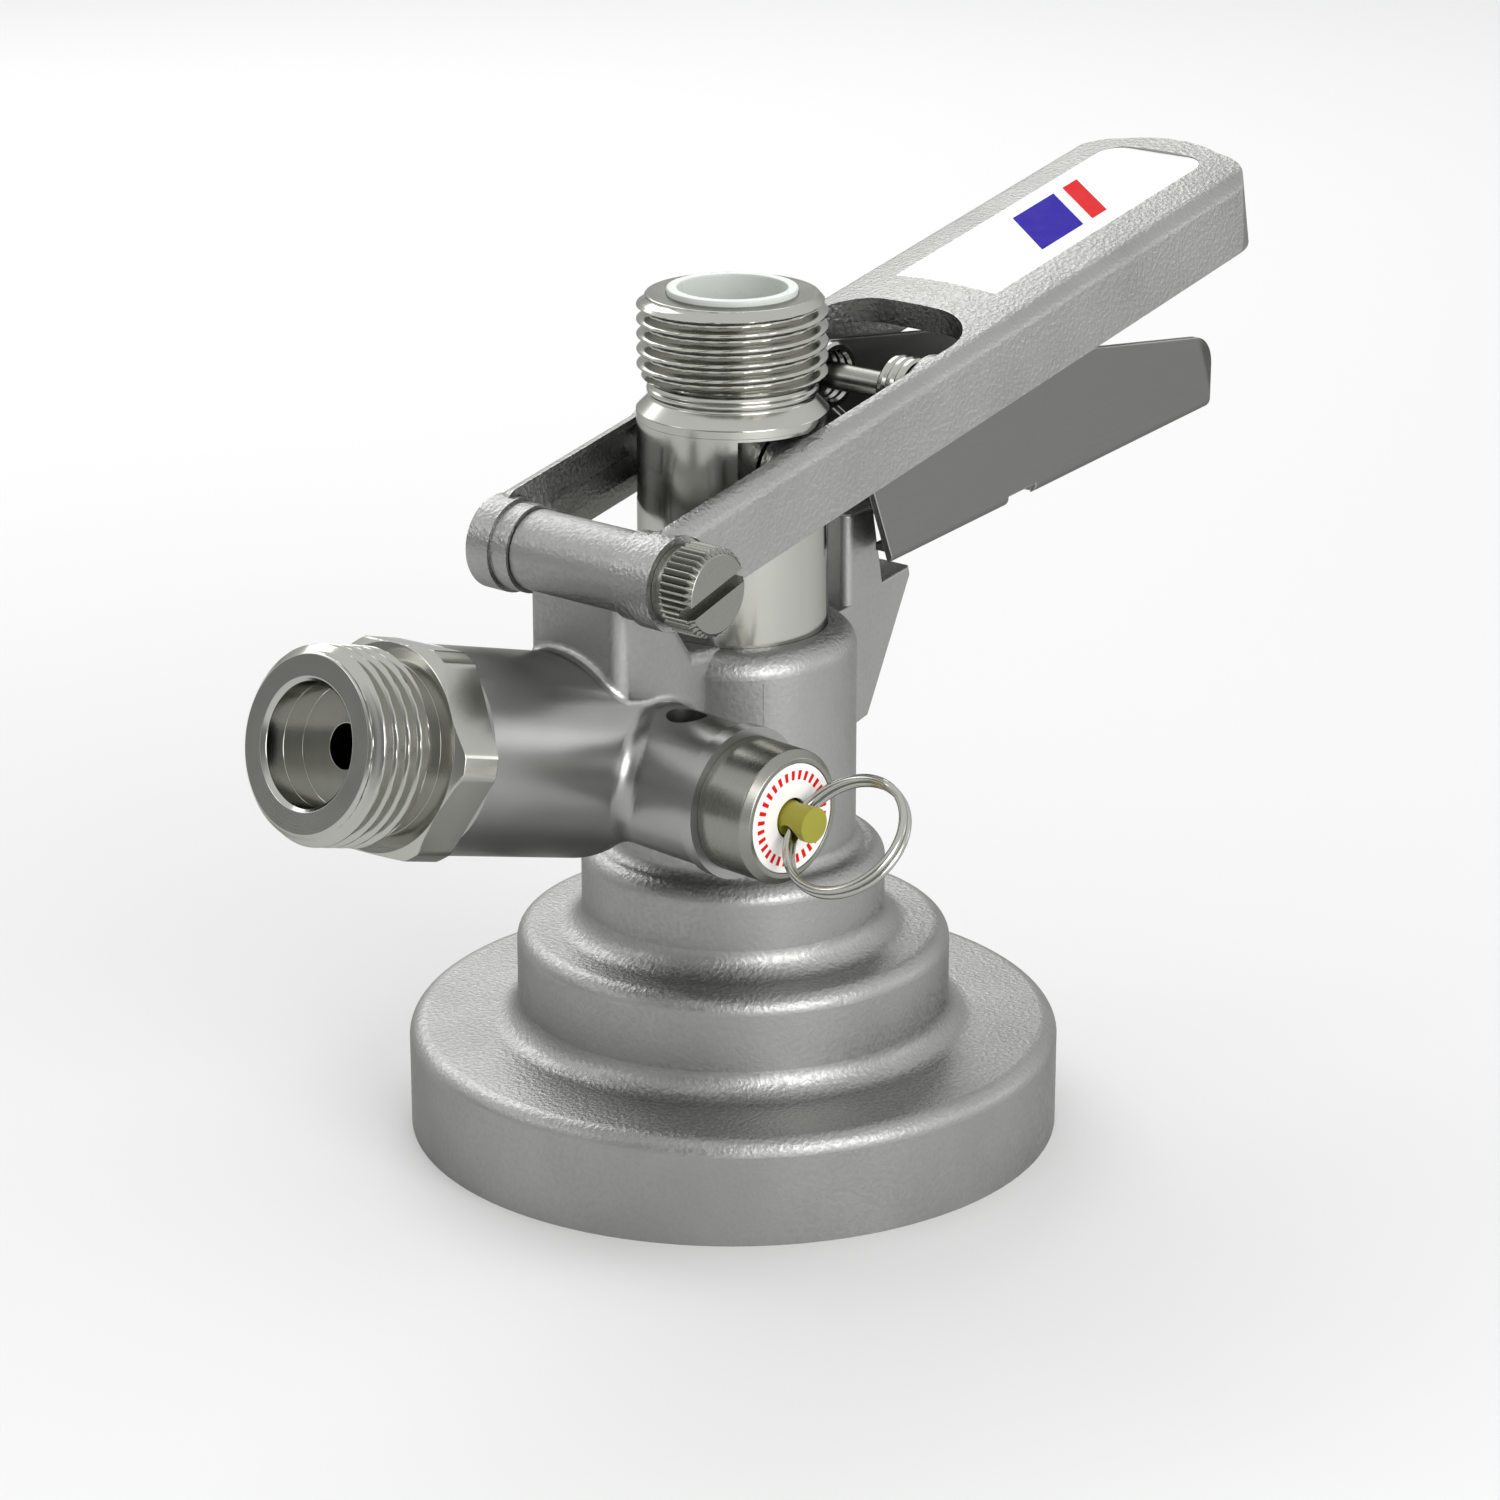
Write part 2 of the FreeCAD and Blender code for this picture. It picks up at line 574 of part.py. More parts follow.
def make_post(body):
    """The post that rises from the pipe and slopes down to the column's rim, with its foot filleted."""
    post_x = size.pivot_x - size.post_back
    foot_z = relief_line.point(ZERO)[2] + size.post_foot_rise
    inner_top_x = size.pivot_x + size.barrel_radius * 0.8
    post = add_profile(body, "post_outline", "XZ_Plane", (
        (post_x, foot_z), (ZERO, foot_z), (ZERO, size.column_height - 1),
        (-size.column_radius, size.column_height + 1), (inner_top_x, size.pivot_z - 2),
        (inner_top_x, size.pivot_z), (post_x, size.pivot_z)))
    pad(body, post, "post", size.post_half * 2, midplane=True)

    def upright(edge):
        box = edge.BoundBox
        return box.ZLength > 5 and near(box.XMin, post_x) and near(box.XMax, post_x)

    soften(body, "post_corner", size.post_round, lambda edge: upright(edge) and edge.BoundBox.YMax < 0)
    soften(body, "post_far_corner", size.post_edge, lambda edge: upright(edge) and edge.BoundBox.YMin > 0)

    def on_slope(edge):
        box = edge.BoundBox
        return box.ZMin > size.column_height.value - 1.1 and box.ZMax < size.pivot_z.value - 1.9 \
            and box.YLength < 0.01 and box.XLength > 5 and near(abs(box.YMin), size.post_half)

    soften(body, "slope_edges", size.slope_round, on_slope)
    doc.recompute()
    shape = body.Tip.Shape
    flats = (ZERO, size.post_round, size.post_edge, size.slope_round)
    foot = []
    for edge in shape.Edges:
        box = edge.BoundBox
        faces = shape.ancestorsOfType(edge, Part.Face)
        flat = [any(bend_of(face) is not None and near(bend_of(face), radius, 0.001) for radius in flats)
                for face in faces]
        low = foot_z.value + 0.1 < box.ZMax < size.pivot_z.value - size.barrel_radius.value
        inside = max(box.YMax, -box.YMin) < size.post_half.value + 0.05
        if flat.count(True) == 1 and low and inside:
            foot.append(edge)
    soften(body, "post_foot", size.post_fillet, lambda edge: any(edge.isSame(other) for other in foot))


def make_body_casting():
    body = new_body("body_casting")
    make_inlet_casting(body)
    make_post(body)
    revolve(body, add_profile(body, "casting_outline", "XZ_Plane", casting_outline()), "skirt_and_column")
    cross_cylinder(body, "barrel", size.barrel_radius, -size.barrel_half, size.barrel_half,
                   size.pivot_x, size.pivot_z)

    # The latch plate behind the column, whose ledge and lower corner the trigger catches on.
    ledge_x = size.catch_tip_x - size.catch_ledge_depth
    plate = add_profile(body, "catch_outline", "XZ_Plane", (
        (size.lower_chamber_radius - 1, size.catch_foot_z - 0.6),
        (size.catch_foot_x - 2.4, size.catch_foot_z - 0.6),
        (size.catch_foot_x, size.catch_foot_z), (size.catch_tip_x, size.catch_ledge_z - 1),
        (size.catch_tip_x - 0.3, size.catch_ledge_z + 0.2), (ledge_x, size.catch_ledge_z - 0.6),
        (ledge_x - 2, size.catch_top_z), (size.catch_inner_x, size.catch_top_z),
        (size.catch_inner_x, size.column_height - 2), (size.lower_chamber_radius - 1,
                                                       size.column_height - 2.4)))
    pad(body, plate, "catch_plate", size.catch_half * 2, midplane=True)
    soften(body, "catch_rib", size.rib_round, lambda edge: edge.BoundBox.ZLength > 0.5
           and near(edge.BoundBox.XMin, size.catch_inner_x) and near(edge.BoundBox.XMax, size.catch_inner_x))
    soften(body, "catch_edges", size.catch_edge, lambda edge: edge.BoundBox.YLength < 0.01
           and near(abs(edge.BoundBox.YMin), size.catch_half)
           and edge.BoundBox.XMin > size.catch_inner_x.value + 0.5)

    # Everything bored out from the axis, then the bayonet lugs that stand back into the cavity.
    revolve(body, add_profile(body, "bore_outline", "XZ_Plane", casting_bores()), "bores", cut=True)
    half_sweep = size.lug_sweep / 2
    lug_inner = size.mouth_radius - size.lug_reach
    lug_outer = size.mouth_radius + OUTSIDE
    lug = add_profile(body, "lug_outline", "XY_Plane", (
        (lug_inner * cosine(half_sweep), -lug_inner * sine(half_sweep)),
        (lug_outer * cosine(half_sweep), -lug_outer * sine(half_sweep), lug_outer, 1),
        (lug_outer * cosine(half_sweep), lug_outer * sine(half_sweep)),
        (lug_inner * cosine(half_sweep), lug_inner * sine(half_sweep), lug_inner, -1)), size.lug_lift)
    lug_pad = pad(body, lug, "bayonet_lug", size.lug_height)
    doc.recompute()
    pattern = body.newObject("PartDesign::PolarPattern", "bayonet_lugs")
    pattern.Originals = [lug_pad]
    pattern.Axis = (origin_axis(body), [""])
    pattern.Angle = 360
    pattern.Occurrences = 3
    body.Tip = pattern

    # The gas way: the nipple's socket, the check valve's seat, and the passage into the upper chamber.
    inlet_line.carry(cylinder(body, "nipple_socket", size.shank_radius + size.seat_gap,
                              socket_depth + OUTSIDE,
                              cut=True), pipe_end - socket_depth)
    check_start = pipe_end - socket_depth - size.check_length
    inlet_line.carry(cylinder(body, "check_seat", size.check_radius + size.seat_gap,
                              size.check_length + OUTSIDE,
                              cut=True), check_start)
    inlet_line.carry(cylinder(body, "gas_passage", size.gas_port_radius,
                              check_start - size.stem_radius + OUTSIDE,
                              cut=True), size.stem_radius)

    # The relief valve's chamber, its seat hole from the gas way, and the vent on top.
    relief_line.carry(cylinder(body, "relief_seat_hole", size.relief_seat_radius,
                               size.relief_seat_length + OUTSIDE,
                               cut=True))
    chamber = size.relief_boss_length - size.relief_seat_length
    relief_line.carry(cylinder(body, "relief_chamber", size.relief_bore_radius, chamber + OUTSIDE, cut=True),
                      size.relief_seat_length)
    vent = cylinder(body, "vent", size.vent_radius, size.relief_boss_radius + OUTSIDE, cut=True)
    place(vent, relief_line.point(size.vent_distance))

    cross_cylinder(body, "pivot_bore", size.screw_radius + size.running_gap, -size.barrel_half - OUTSIDE,
                   size.barrel_half + OUTSIDE, size.pivot_x, size.pivot_z, cut=True)
    return body


def origin_axis(body):
    return next(feature for feature in body.Origin.OriginFeatures if feature.Role == "Z_Axis")


def make_seals():
    """The two rings in the column, the gasket under the skirt, and the washer behind the nipple."""
    for height, label in ((upper_ring_z, "upper_stem_seal"), (lower_ring_z, "lower_stem_seal")):
        ring = ring_body(label, round_section(bore_radius + size.ring_wire, size.ring_wire))
        place(ring, (ZERO, ZERO, height))
    gasket_outer = size.mouth_radius - size.lug_reach - size.free_gap * 3
    gasket_low = size.mouth_depth - 2.4
    ring_body("base_gasket", (
        (size.valve_bore_radius + 0.6, gasket_low + 0.8), (gasket_outer - 2, gasket_low),
        (gasket_outer, gasket_low), (gasket_outer, size.mouth_depth),
        (size.valve_bore_radius + 0.6, size.mouth_depth)))
    washer = ring_body("nipple_washer", tube_corners(size.check_radius - 1.5, size.shank_radius, ZERO,
                                                     washer_thickness))
    inlet_line.carry(washer, pipe_end - socket_depth)


def make_gas_inlet():
    """The hexagon nipple, turned and milled, and the duckbill valve behind it; +Z runs out of the inlet."""
    nipple = new_body("gas_nipple")
    end = size.nipple_length
    thread_start = end - size.nipple_thread
    outline = (
        (size.gas_port_radius, -size.shank_length), (size.shank_radius - 0.5, -size.shank_length),
        (size.shank_radius, 0.5 - size.shank_length), (size.shank_radius, ZERO),
        (size.nipple_neck_radius, ZERO),
        (size.nipple_neck_radius, thread_start - 0.8), (size.thread_radius, thread_start),
        (size.thread_radius, end - size.thread_chamfer), (size.thread_radius - size.thread_chamfer, end),
        (size.nipple_bore_radius + 0.5, end), (size.nipple_bore_radius, end - 0.5),
        (size.nipple_bore_radius, end - size.nipple_bore_depth),
        (size.gas_port_radius, end - size.nipple_bore_depth))
    revolve(nipple, add_profile(nipple, "nipple_outline", "XZ_Plane", outline), "nipple_turned")
    corner_radius = size.hexagon_flats / 2 / cosine(term(30))
    corners = []
    for turn in range(6):
        angle = size.hexagon_twist + 60 * turn
        corners.append((corner_radius * cosine(angle), corner_radius * sine(angle)))
    pad(nipple, add_profile(nipple, "hexagon", "XY_Plane", corners), "hexagon_block", size.hexagon_length)
    bevel_start = size.hexagon_flats / 2
    beyond = corner_radius + OUTSIDE
    bevel_drop = (size.hexagon_corner - bevel_start) * sine(term(30)) / cosine(term(30))
    turned_down = ((bevel_start, size.hexagon_length), (size.hexagon_corner,
                                                        size.hexagon_length - bevel_drop),
                   (size.hexagon_corner, term(-OUTSIDE)), (beyond, term(-OUTSIDE)),
                   (beyond, size.hexagon_length + OUTSIDE), (bevel_start, size.hexagon_length + OUTSIDE))
    revolve(nipple, add_profile(nipple, "hexagon_turning", "XZ_Plane", turned_down), "hexagon_turned",
            cut=True)
    cylinder(nipple, "nipple_passage", size.gas_port_radius, end, cut=True)
    inlet_line.carry(nipple, pipe_end)

    flange = 1.6
    valve = ring_body("gas_check_valve", (
        (term(0.4), 0.4 - size.check_length), (term(1.7), 0.4 - size.check_length),
        (size.check_radius - 2, -flange),
        (size.check_radius, -flange), (size.check_radius, ZERO), (size.check_radius - 3, ZERO)))
    inlet_line.carry(valve, pipe_end - socket_depth)


def coil_corners(middle, wire, coils):
    """The section of a closed coil: a row of wires with flattened sides, seen as (radius, height)."""
    waist = wire * 0.5
    pitch = wire * 2
    outer = []
    inner = []
    for index in range(coils):
        outer += [(middle + waist, pitch * index), (middle + wire, pitch * (index + 0.3)),
                  (middle + wire, pitch * (index + 0.7))]
        inner += [(middle - waist, pitch * (coils - index)), (middle - wire, pitch * (coils - index - 0.3)),
                  (middle - wire, pitch * (coils - index - 0.7))]
    return outer + [(middle + waist, pitch * coils)] + inner + [(middle - waist, ZERO)]


def make_relief_valve():
    """The pieces on the relief valve's own axis; each is drawn along +Z from the inlet's axis."""
    face = size.relief_length
    disc_back = face - size.disc_thickness
    spring_seat = disc_back - 1.6
    hole = size.plunger_radius + size.free_gap
    cap_shank = size.relief_bore_radius - size.seat_gap
    cap = ring_body("relief_cap", (
        (hole, spring_seat), (cap_shank - 1.2, spring_seat), (cap_shank - 1.2, size.relief_boss_length - 4),
        (cap_shank, size.relief_boss_length - 4), (cap_shank, size.relief_boss_length),
        (size.relief_cap_radius, size.relief_boss_length), (size.relief_cap_radius,
                                                            face - size.relief_cap_chamfer),
        (size.relief_cap_radius - size.relief_cap_chamfer, face), (size.disc_radius + size.seat_gap, face),
        (size.disc_radius + size.seat_gap, disc_back), (hole, disc_back)))
    disc = ring_body("relief_disc", tube_corners(hole, size.disc_radius, disc_back, face - 0.1))
    seat = size.relief_seat_length + size.seat_gap
    seal_face = seat + relief_seal_thickness
    seal = ring_body("relief_seal", ((ZERO, seat), (relief_foot_radius, seat),
                                     (relief_foot_radius, seal_face),
                                     (ZERO, seal_face)))
    for piece in (cap, disc, seal):
        relief_line.carry(piece)

    plunger = new_body("relief_plunger")
    relief_line.carry(cylinder(plunger, "plunger_foot", relief_foot_radius, relief_foot_length), seal_face)
    rod_length = face + size.plunger_reach - seal_face
    relief_line.carry(cylinder(plunger, "plunger_rod", size.plunger_radius, rod_length), seal_face)
    ring_hole = cylinder(plunger, "ring_hole", ring_hole_radius, size.plunger_radius * 4, cut=True)
    ring_hole_line.carry(ring_hole, -2 * size.plunger_radius)

    # The spring is drawn at its squeezed length and moves with the plunger.
    spring_space = spring_seat - seal_face - relief_foot_length - size.relief_travel - size.free_gap
    coils = 8
    wire = spring_space / (2 * coils)
    spring = ring_body("relief_spring", coil_corners(size.plunger_radius + size.free_gap + wire, wire,
                                                     coils))
    relief_line.carry(spring, seal_face + relief_foot_length)

    # The pull ring is two turns of wire that lie side by side, in a plane that holds the plunger's axis.
    wire = size.pull_ring_wire
    section = round_section(size.pull_ring_radius, wire, -wire, range(2, 10))
    section += round_section(size.pull_ring_radius, wire, wire, range(-1, 5))
    ring = ring_body("pull_ring", section)
    place(ring, ring_centre, relief_line.heading, size.pull_ring_turn)


def make_probe():
    """The sliding probe: stem with thread and flats, liner, lower seal and the outlet's check ball."""
    top = probe_top
    low = size.probe_bottom
    bead = (neck_low + thread_low) / 2
    seal_low = low + 1.5
    seal_inner = size.tip_seal_radius - size.tip_seal_wall
    outline = (
        (seat_radius, low), (size.stem_radius - 0.4, low), (size.stem_radius - 0.4, seal_low),
        (seal_inner, seal_low), (seal_inner, seal_low + size.tip_seal_length),
        (size.stem_radius, seal_low + size.tip_seal_length), (size.stem_radius, collar_height - 1),
        (collar_radius, collar_height - 1), (collar_radius, collar_height), (size.neck_radius, neck_low),
        (size.neck_radius, bead - 0.4), (size.neck_radius + 0.35, bead), (size.neck_radius, bead + 0.4),
        (size.neck_radius, thread_low), (size.thread_radius, thread_low + 1),
        (size.thread_radius, top - size.thread_chamfer), (size.thread_radius - size.thread_chamfer, top),
        (size.liner_radius + size.seat_gap, top), (size.liner_radius + size.seat_gap, liner_head_low),
        (liner_body + size.seat_gap, liner_head_low), (liner_body + size.seat_gap, liner_low),
        (size.flow_radius, liner_low), (size.flow_radius, seat_height + size.flow_radius - seat_radius),
        (seat_radius, seat_height))
    stem = new_body("probe_stem")
    revolve(stem, add_profile(stem, "stem_outline", "XZ_Plane", outline), "stem_turned")
    for side, name in ((1, "far_flat"), (-1, "near_flat")):
        start = size.slot_floor if side > 0 else -size.slot_floor - size.stem_radius
        box(stem, name, size.stem_radius * 2.4, size.stem_radius, slot_half * 2,
            (-1.2 * size.stem_radius, start, drive_z - slot_half), cut=True)

    ring_body("probe_liner", (
        (liner_body - size.liner_wall, liner_low + 0.1), (liner_body, liner_low + 0.1),
        (liner_body, liner_head_low),
        (size.liner_radius, liner_head_low), (size.liner_radius, top + size.liner_stand - 0.3),
        (size.liner_radius - 0.3, top + size.liner_stand), (size.liner_radius - size.liner_wall,
                                                            top + size.liner_stand),
        (size.liner_radius - size.liner_wall, top - 1.2), (liner_body - size.liner_wall,
                                                           liner_head_low - 1)))
    ring_body("probe_tip_seal", (
        (seal_inner + size.seat_gap, seal_low), (size.tip_seal_radius - 0.8, seal_low),
        (size.tip_seal_radius, seal_low + 1.2), (size.tip_seal_radius - 0.6,
                                                 seal_low + size.tip_seal_length * 0.6),
        (size.tip_seal_radius - 0.6, seal_low + size.tip_seal_length), (seal_inner + size.seat_gap,
                                                                        seal_low + size.tip_seal_length)))
    ball = doc.addObject("Part::Sphere", "check_ball")
    ball.Label = "check_ball"
    bind(ball, Radius=size.ball_radius)
    place(ball, (ZERO, ZERO, ball_z))
    retainer_half = term(0.8)
    retainer = ring_body("ball_retainer", tube_corners(size.flow_radius - 1.2,
                                                       size.flow_radius - size.seat_gap,
                                                       retainer_low, retainer_low + retainer_half * 2))
    box(retainer, "retainer_bar", (size.flow_radius - 1) * 2, retainer_half * 2, retainer_half * 2,
        (1 - size.flow_radius, -retainer_half, retainer_low))


def section_corners():
    """The lever's cross-section as (y, height): drafted sides, rounded shoulders and a crowned top."""
    foot = size.lever_half + 0.5
    edge_z = size.lever_top - crown_drop - size.lever_edge_round
    return ((-foot, -size.lever_bottom), (foot, -size.lever_bottom),
            (size.lever_half, edge_z, size.lever_edge_round, 1),
            (crown_half, size.lever_top - crown_drop, crown_radius, 1),
            (-crown_half, size.lever_top - crown_drop, size.lever_edge_round, 1), (-size.lever_half, edge_z))


def make_lever():
    """The cast lever in its own frame: +X along the lever from the pivot, +Z out of its top."""
    lever = new_body("lever_casting")
    length = size.lever_length
    pad(lever, add_profile(lever, "lever_section", "YZ_Plane", section_corners()), "lever_bar", length)
    soften(lever, "arm_ends", size.arm_end_round, lambda edge: near(edge.BoundBox.XMax, ZERO)
           and edge.BoundBox.ZMax > 0)

    # The tip is trimmed to a shallow curve with round corners, all in plan.
    tip = length - 2.4
    corner = size.lever_tip_round
    wide = size.lever_half * 1.5
    side = size.lever_half + 0.5
    beyond = length + OUTSIDE
    trim = add_profile(lever, "tip_outline", "XY_Plane", (
        (tip - corner, -wide), (beyond, -wide), (beyond, wide), (tip - corner, wide),
        (tip - corner, side, corner, -1), (tip, side - corner, length * 0.18, -1),
        (tip, corner - side, corner, -1), (tip - corner, -side)), -OUTSIDE * 10)
    pocket(lever, trim, "tip_trimmed", THROUGH, backward=True)

    # The arms: the opening between them, and the hollow that runs on under the grip's roof.
    gap = size.lever_gap_half
    end = size.lever_opening
    bend = term(7.5)
    opening = add_profile(lever, "opening_outline", "XY_Plane", (
        (term(-OUTSIDE), -gap), (end - bend, -gap, bend, 1), (end, bend - gap), (end, gap - bend, bend, 1),
        (end - bend, gap), (term(-OUTSIDE), gap)), -OUTSIDE * 10)
    pocket(lever, opening, "opening", THROUGH, backward=True)
    hollow_end = tip - size.lever_wall - 0.6
    hollow_top = size.lever_top - crown_drop - size.lever_roof
    hollow_half = size.lever_half - size.lever_wall + 0.2
    hollow = add_profile(lever, "hollow_outline", "XY_Plane", (
        (end - bend, -hollow_half), (hollow_end - corner * 0.7, -hollow_half, corner * 0.7, 1),
        (hollow_end, corner * 0.7 - hollow_half), (hollow_end, hollow_half - corner * 0.7, corner * 0.7, 1),
        (hollow_end - corner * 0.7, hollow_half), (end - bend, hollow_half)), -size.lever_bottom - OUTSIDE)
    pocket(lever, hollow, "hollow", hollow_top + size.lever_bottom + OUTSIDE, backward=True)

    # Each arm is thinned above and below a rail that runs along its inner face.
    recess = term(1.1)
    recess_start = size.eye_radius + 1.6
    recess_length = hinge_u - size.eye_radius - recess_start
    box(lever, "upper_recess", recess_length, (gap + recess) * 2, term(3.2),
        (recess_start, -gap - recess, term(2.1)),
        cut=True)
    box(lever, "lower_recess", recess_length, (gap + recess) * 2, term(3.2),
        (recess_start, -gap - recess, -size.lever_bottom - 0.2), cut=True)

    # The eyes, the lugs that drive the probe, and the bosses that hold the trigger's pin, on each arm.
    eye_inner = size.barrel_half + 0.15
    eye_outer = size.lever_half - 0.2
    lug_inner = size.slot_floor + size.free_gap
    boss_inner = size.trigger_half + size.free_gap
    arm_skin = gap + recess + 0.4
    for name, inner, outer, radius, along, up in (
            ("eye_hub", eye_inner, size.eye_shoulder, size.eye_radius - size.eye_step, ZERO, ZERO),
            ("eye", size.eye_shoulder, eye_outer, size.eye_radius, ZERO, ZERO),
            ("drive_lug", lug_inner, arm_skin, size.drive_radius, size.drive_reach, size.drive_rise),
            ("pin_boss", boss_inner, arm_skin, size.coil_radius + 1.4, hinge_u, hinge_w)):
        cross_cylinder(lever, "far_" + name, radius, inner, outer, along, up)
        cross_cylinder(lever, "near_" + name, radius, -outer, -inner, along, up)
    screw_bore = size.screw_radius + size.seat_gap
    cross_cylinder(lever, "head_seat", size.screw_head_radius + size.free_gap, -size.lever_half * 1.5,
                   size.seat_gap - head_start, ZERO, ZERO, cut=True)
    cross_cylinder(lever, "screw_bore", screw_bore, -size.lever_half - OUTSIDE, screw_end, ZERO, ZERO,
                   cut=True)
    cross_cylinder(lever, "pin_bore", size.hinge_radius + size.seat_gap, -pin_half, pin_half, hinge_u,
                   hinge_w, cut=True)

    # The panel's recess in the crowned top.
    recess_outline = add_profile(lever, "panel_recess_outline", "XY_Plane", panel_corners(size.seat_gap),
                                 panel_floor)
    pocket(lever, recess_outline, "panel_recess", size.lever_top, backward=True)
    place(lever, pivot, (0, 1, 0), -size.lever_rise)

    panel = new_body("lever_panel")
    pad(panel, add_profile(panel, "panel_outline", "XY_Plane", panel_corners(ZERO), panel_floor),
        "panel_sheet",
        size.panel_depth)
    place(panel, pivot, (0, 1, 0), -size.lever_rise)


def panel_corners(margin):
    """The panel in plan: a waved lower end, straight sides and a rounded upper end."""
    low = size.panel_start - margin
    high = size.panel_end + margin
    half = size.panel_half + margin
    bend = term(3.2)
    return ((low, -half), (high - bend, -half, bend, 1), (high, bend - half), (high, half - bend, bend, 1),
            (high - bend, half), (low, half))


def make_pivot_screw():
    """The slotted screw that the lever turns on; its own +Z points out of the knurled head, towards -Y."""
    screw = new_body("pivot_screw")
    head_end = head_start + size.screw_head_length
    chamfer = 0.7
    revolve(screw, add_profile(screw, "screw_outline", "XZ_Plane", (
        (ZERO, 0.4 - screw_end), (size.screw_radius - 0.5, 0.4 - screw_end),
        (size.screw_radius, 0.9 - screw_end),
        (size.screw_radius, head_start), (size.screw_head_radius - 0.4, head_start),
        (size.screw_head_radius, head_start + 0.4), (size.screw_head_radius, head_end - chamfer),
        (size.screw_head_radius - chamfer, head_end), (ZERO, head_end))), "screw_turned")
    slot = box(screw, "screw_slot", size.screw_head_radius * 3, size.screw_slot, size.screw_slot * 2,
               (ZERO, ZERO, ZERO), cut=True)
    lean = term(17.0)
    back = size.screw_head_radius * 1.5
    half = size.screw_slot / 2
    place(slot, (half * sine(lean) - back * cosine(lean), -half * cosine(lean) - back * sine(lean),
                 head_end - size.screw_slot), (0, 0, 1), lean)
    place(screw, pivot, (1, 0, 0), 90)


def trigger_corners():
    """The trigger's side in the XZ plane, from its pin: heel, underside, tail, top edge and ear."""
    tail = size.trigger_length
    heel_x = term(-6.1)
    heel_z = term(-20.4)
    ear = size.hinge_radius + 2.1
    return ((heel_x, heel_z), (tail, term(-14.2)), (tail, term(-8.0), term(4.2), 1),
            (tail - 3.6, term(-3.9)),
            (term(38.3), term(-1.3)), (ZERO + 1.2, ear - 0.2, ear, 1), (-ear, ZERO),
            (heel_x - 5.0, term(-8.6)),
            (heel_x - 3.9, term(-10.8)))


def make_trigger():
    """The folded sheet trigger, drawn about its pin as it hangs under the lever at rest."""
    trigger = new_body("trigger")
    sheet_half = size.trigger_half - size.trigger_sheet
    pad(trigger, add_profile(trigger, "trigger_side", "XZ_Plane", trigger_corners()), "trigger_block",
        size.trigger_half * 2, midplane=True)
    soften(trigger, "folds", size.trigger_sheet * 1.4, lambda edge: edge.BoundBox.XLength > 60
           and edge.BoundBox.ZMin < -18)
    tail = size.trigger_length
    inside = add_profile(trigger, "trigger_inside", "XZ_Plane", (
        (term(-20), size.trigger_sheet - 20.4 - 1.3), (tail + 5, size.trigger_sheet - 14.2 + 0.47),
        (tail + 5, term(12)), (term(-20), term(12))))
    pocket(trigger, inside, "trigger_hollow", sheet_half * 2, midplane=True)
    catch_half = size.catch_half + size.free_gap * 3
    passage = size.catch_tip_x - size.hinge_x + size.free_gap * 5
    box(trigger, "catch_passage", passage + 20, catch_half * 2, term(12),
        (term(-20), -catch_half, term(-24)), cut=True)
    box(trigger, "heel_relief", term(16.8), sheet_half * 2, term(12), (term(-20), -sheet_half, term(-24)),
        cut=True)
    box(trigger, "web_window", term(6.6), sheet_half * 2, term(4), (term(17.2), -sheet_half, term(-20.4)),
        cut=True)
    cross_cylinder(trigger, "hinge_hole", size.hinge_radius + size.running_gap, -size.trigger_half - OUTSIDE,
                   size.trigger_half + OUTSIDE, ZERO, ZERO, cut=True)
    place(trigger, (size.hinge_x, ZERO, size.hinge_z))

    pin = doc.addObject("Part::Cylinder", "trigger_pin")
    pin.Label = "trigger_pin"
    bind(pin, Radius=size.hinge_radius, Height=pin_half * 2 - 0.1)
    place(pin, (size.hinge_x, 0.05 - pin_half, size.hinge_z), (-1, 0, 0), 90)


def make_trigger_spring():
    """A double torsion spring: a coil on the pin beside each side plate, each with a leg to the trigger."""
    pieces = []
    coils = 3
    leg_length = term(17.2)
    step = size.coil_wire * 2
    coil_start = size.catch_half + 1.2
    for side, name in ((1, "far"), (-1, "near")):
        coil = new_body(name + "_coil")
        revolve(coil, add_profile(coil, name + "_coil_outline", "XZ_Plane",
                                  coil_corners(size.coil_radius, size.coil_wire, coils)),
                                  name + "_coil_turned")
        start = coil_start if side > 0 else -coil_start - step * coils
        place(coil, (size.hinge_x, start, size.hinge_z), (-1, 0, 0), 90)
        leg = doc.addObject("Part::Cylinder", name + "_leg")
        bind(leg, Radius=size.coil_wire, Height=leg_length)
        leg_y = side * (coil_start + step)
        place(leg, (size.hinge_x, leg_y, size.hinge_z - size.coil_radius), (0, 1, 0), term(128.0))
        pieces += [coil, leg]
    spring = doc.addObject("Part::MultiFuse", "trigger_spring")
    spring.Label = "trigger_spring"
    spring.Shapes = pieces


make_body_casting()
make_seals()
make_gas_inlet()
make_relief_valve()
make_probe()
make_lever()
make_pivot_screw()
make_trigger()
make_trigger_spring()
doc.recompute()

broken = [thing.Name for thing in doc.Objects if "Invalid" in thing.State or "Error" in thing.State]
if broken:
    raise RuntimeError("these objects failed: " + ", ".join(broken))

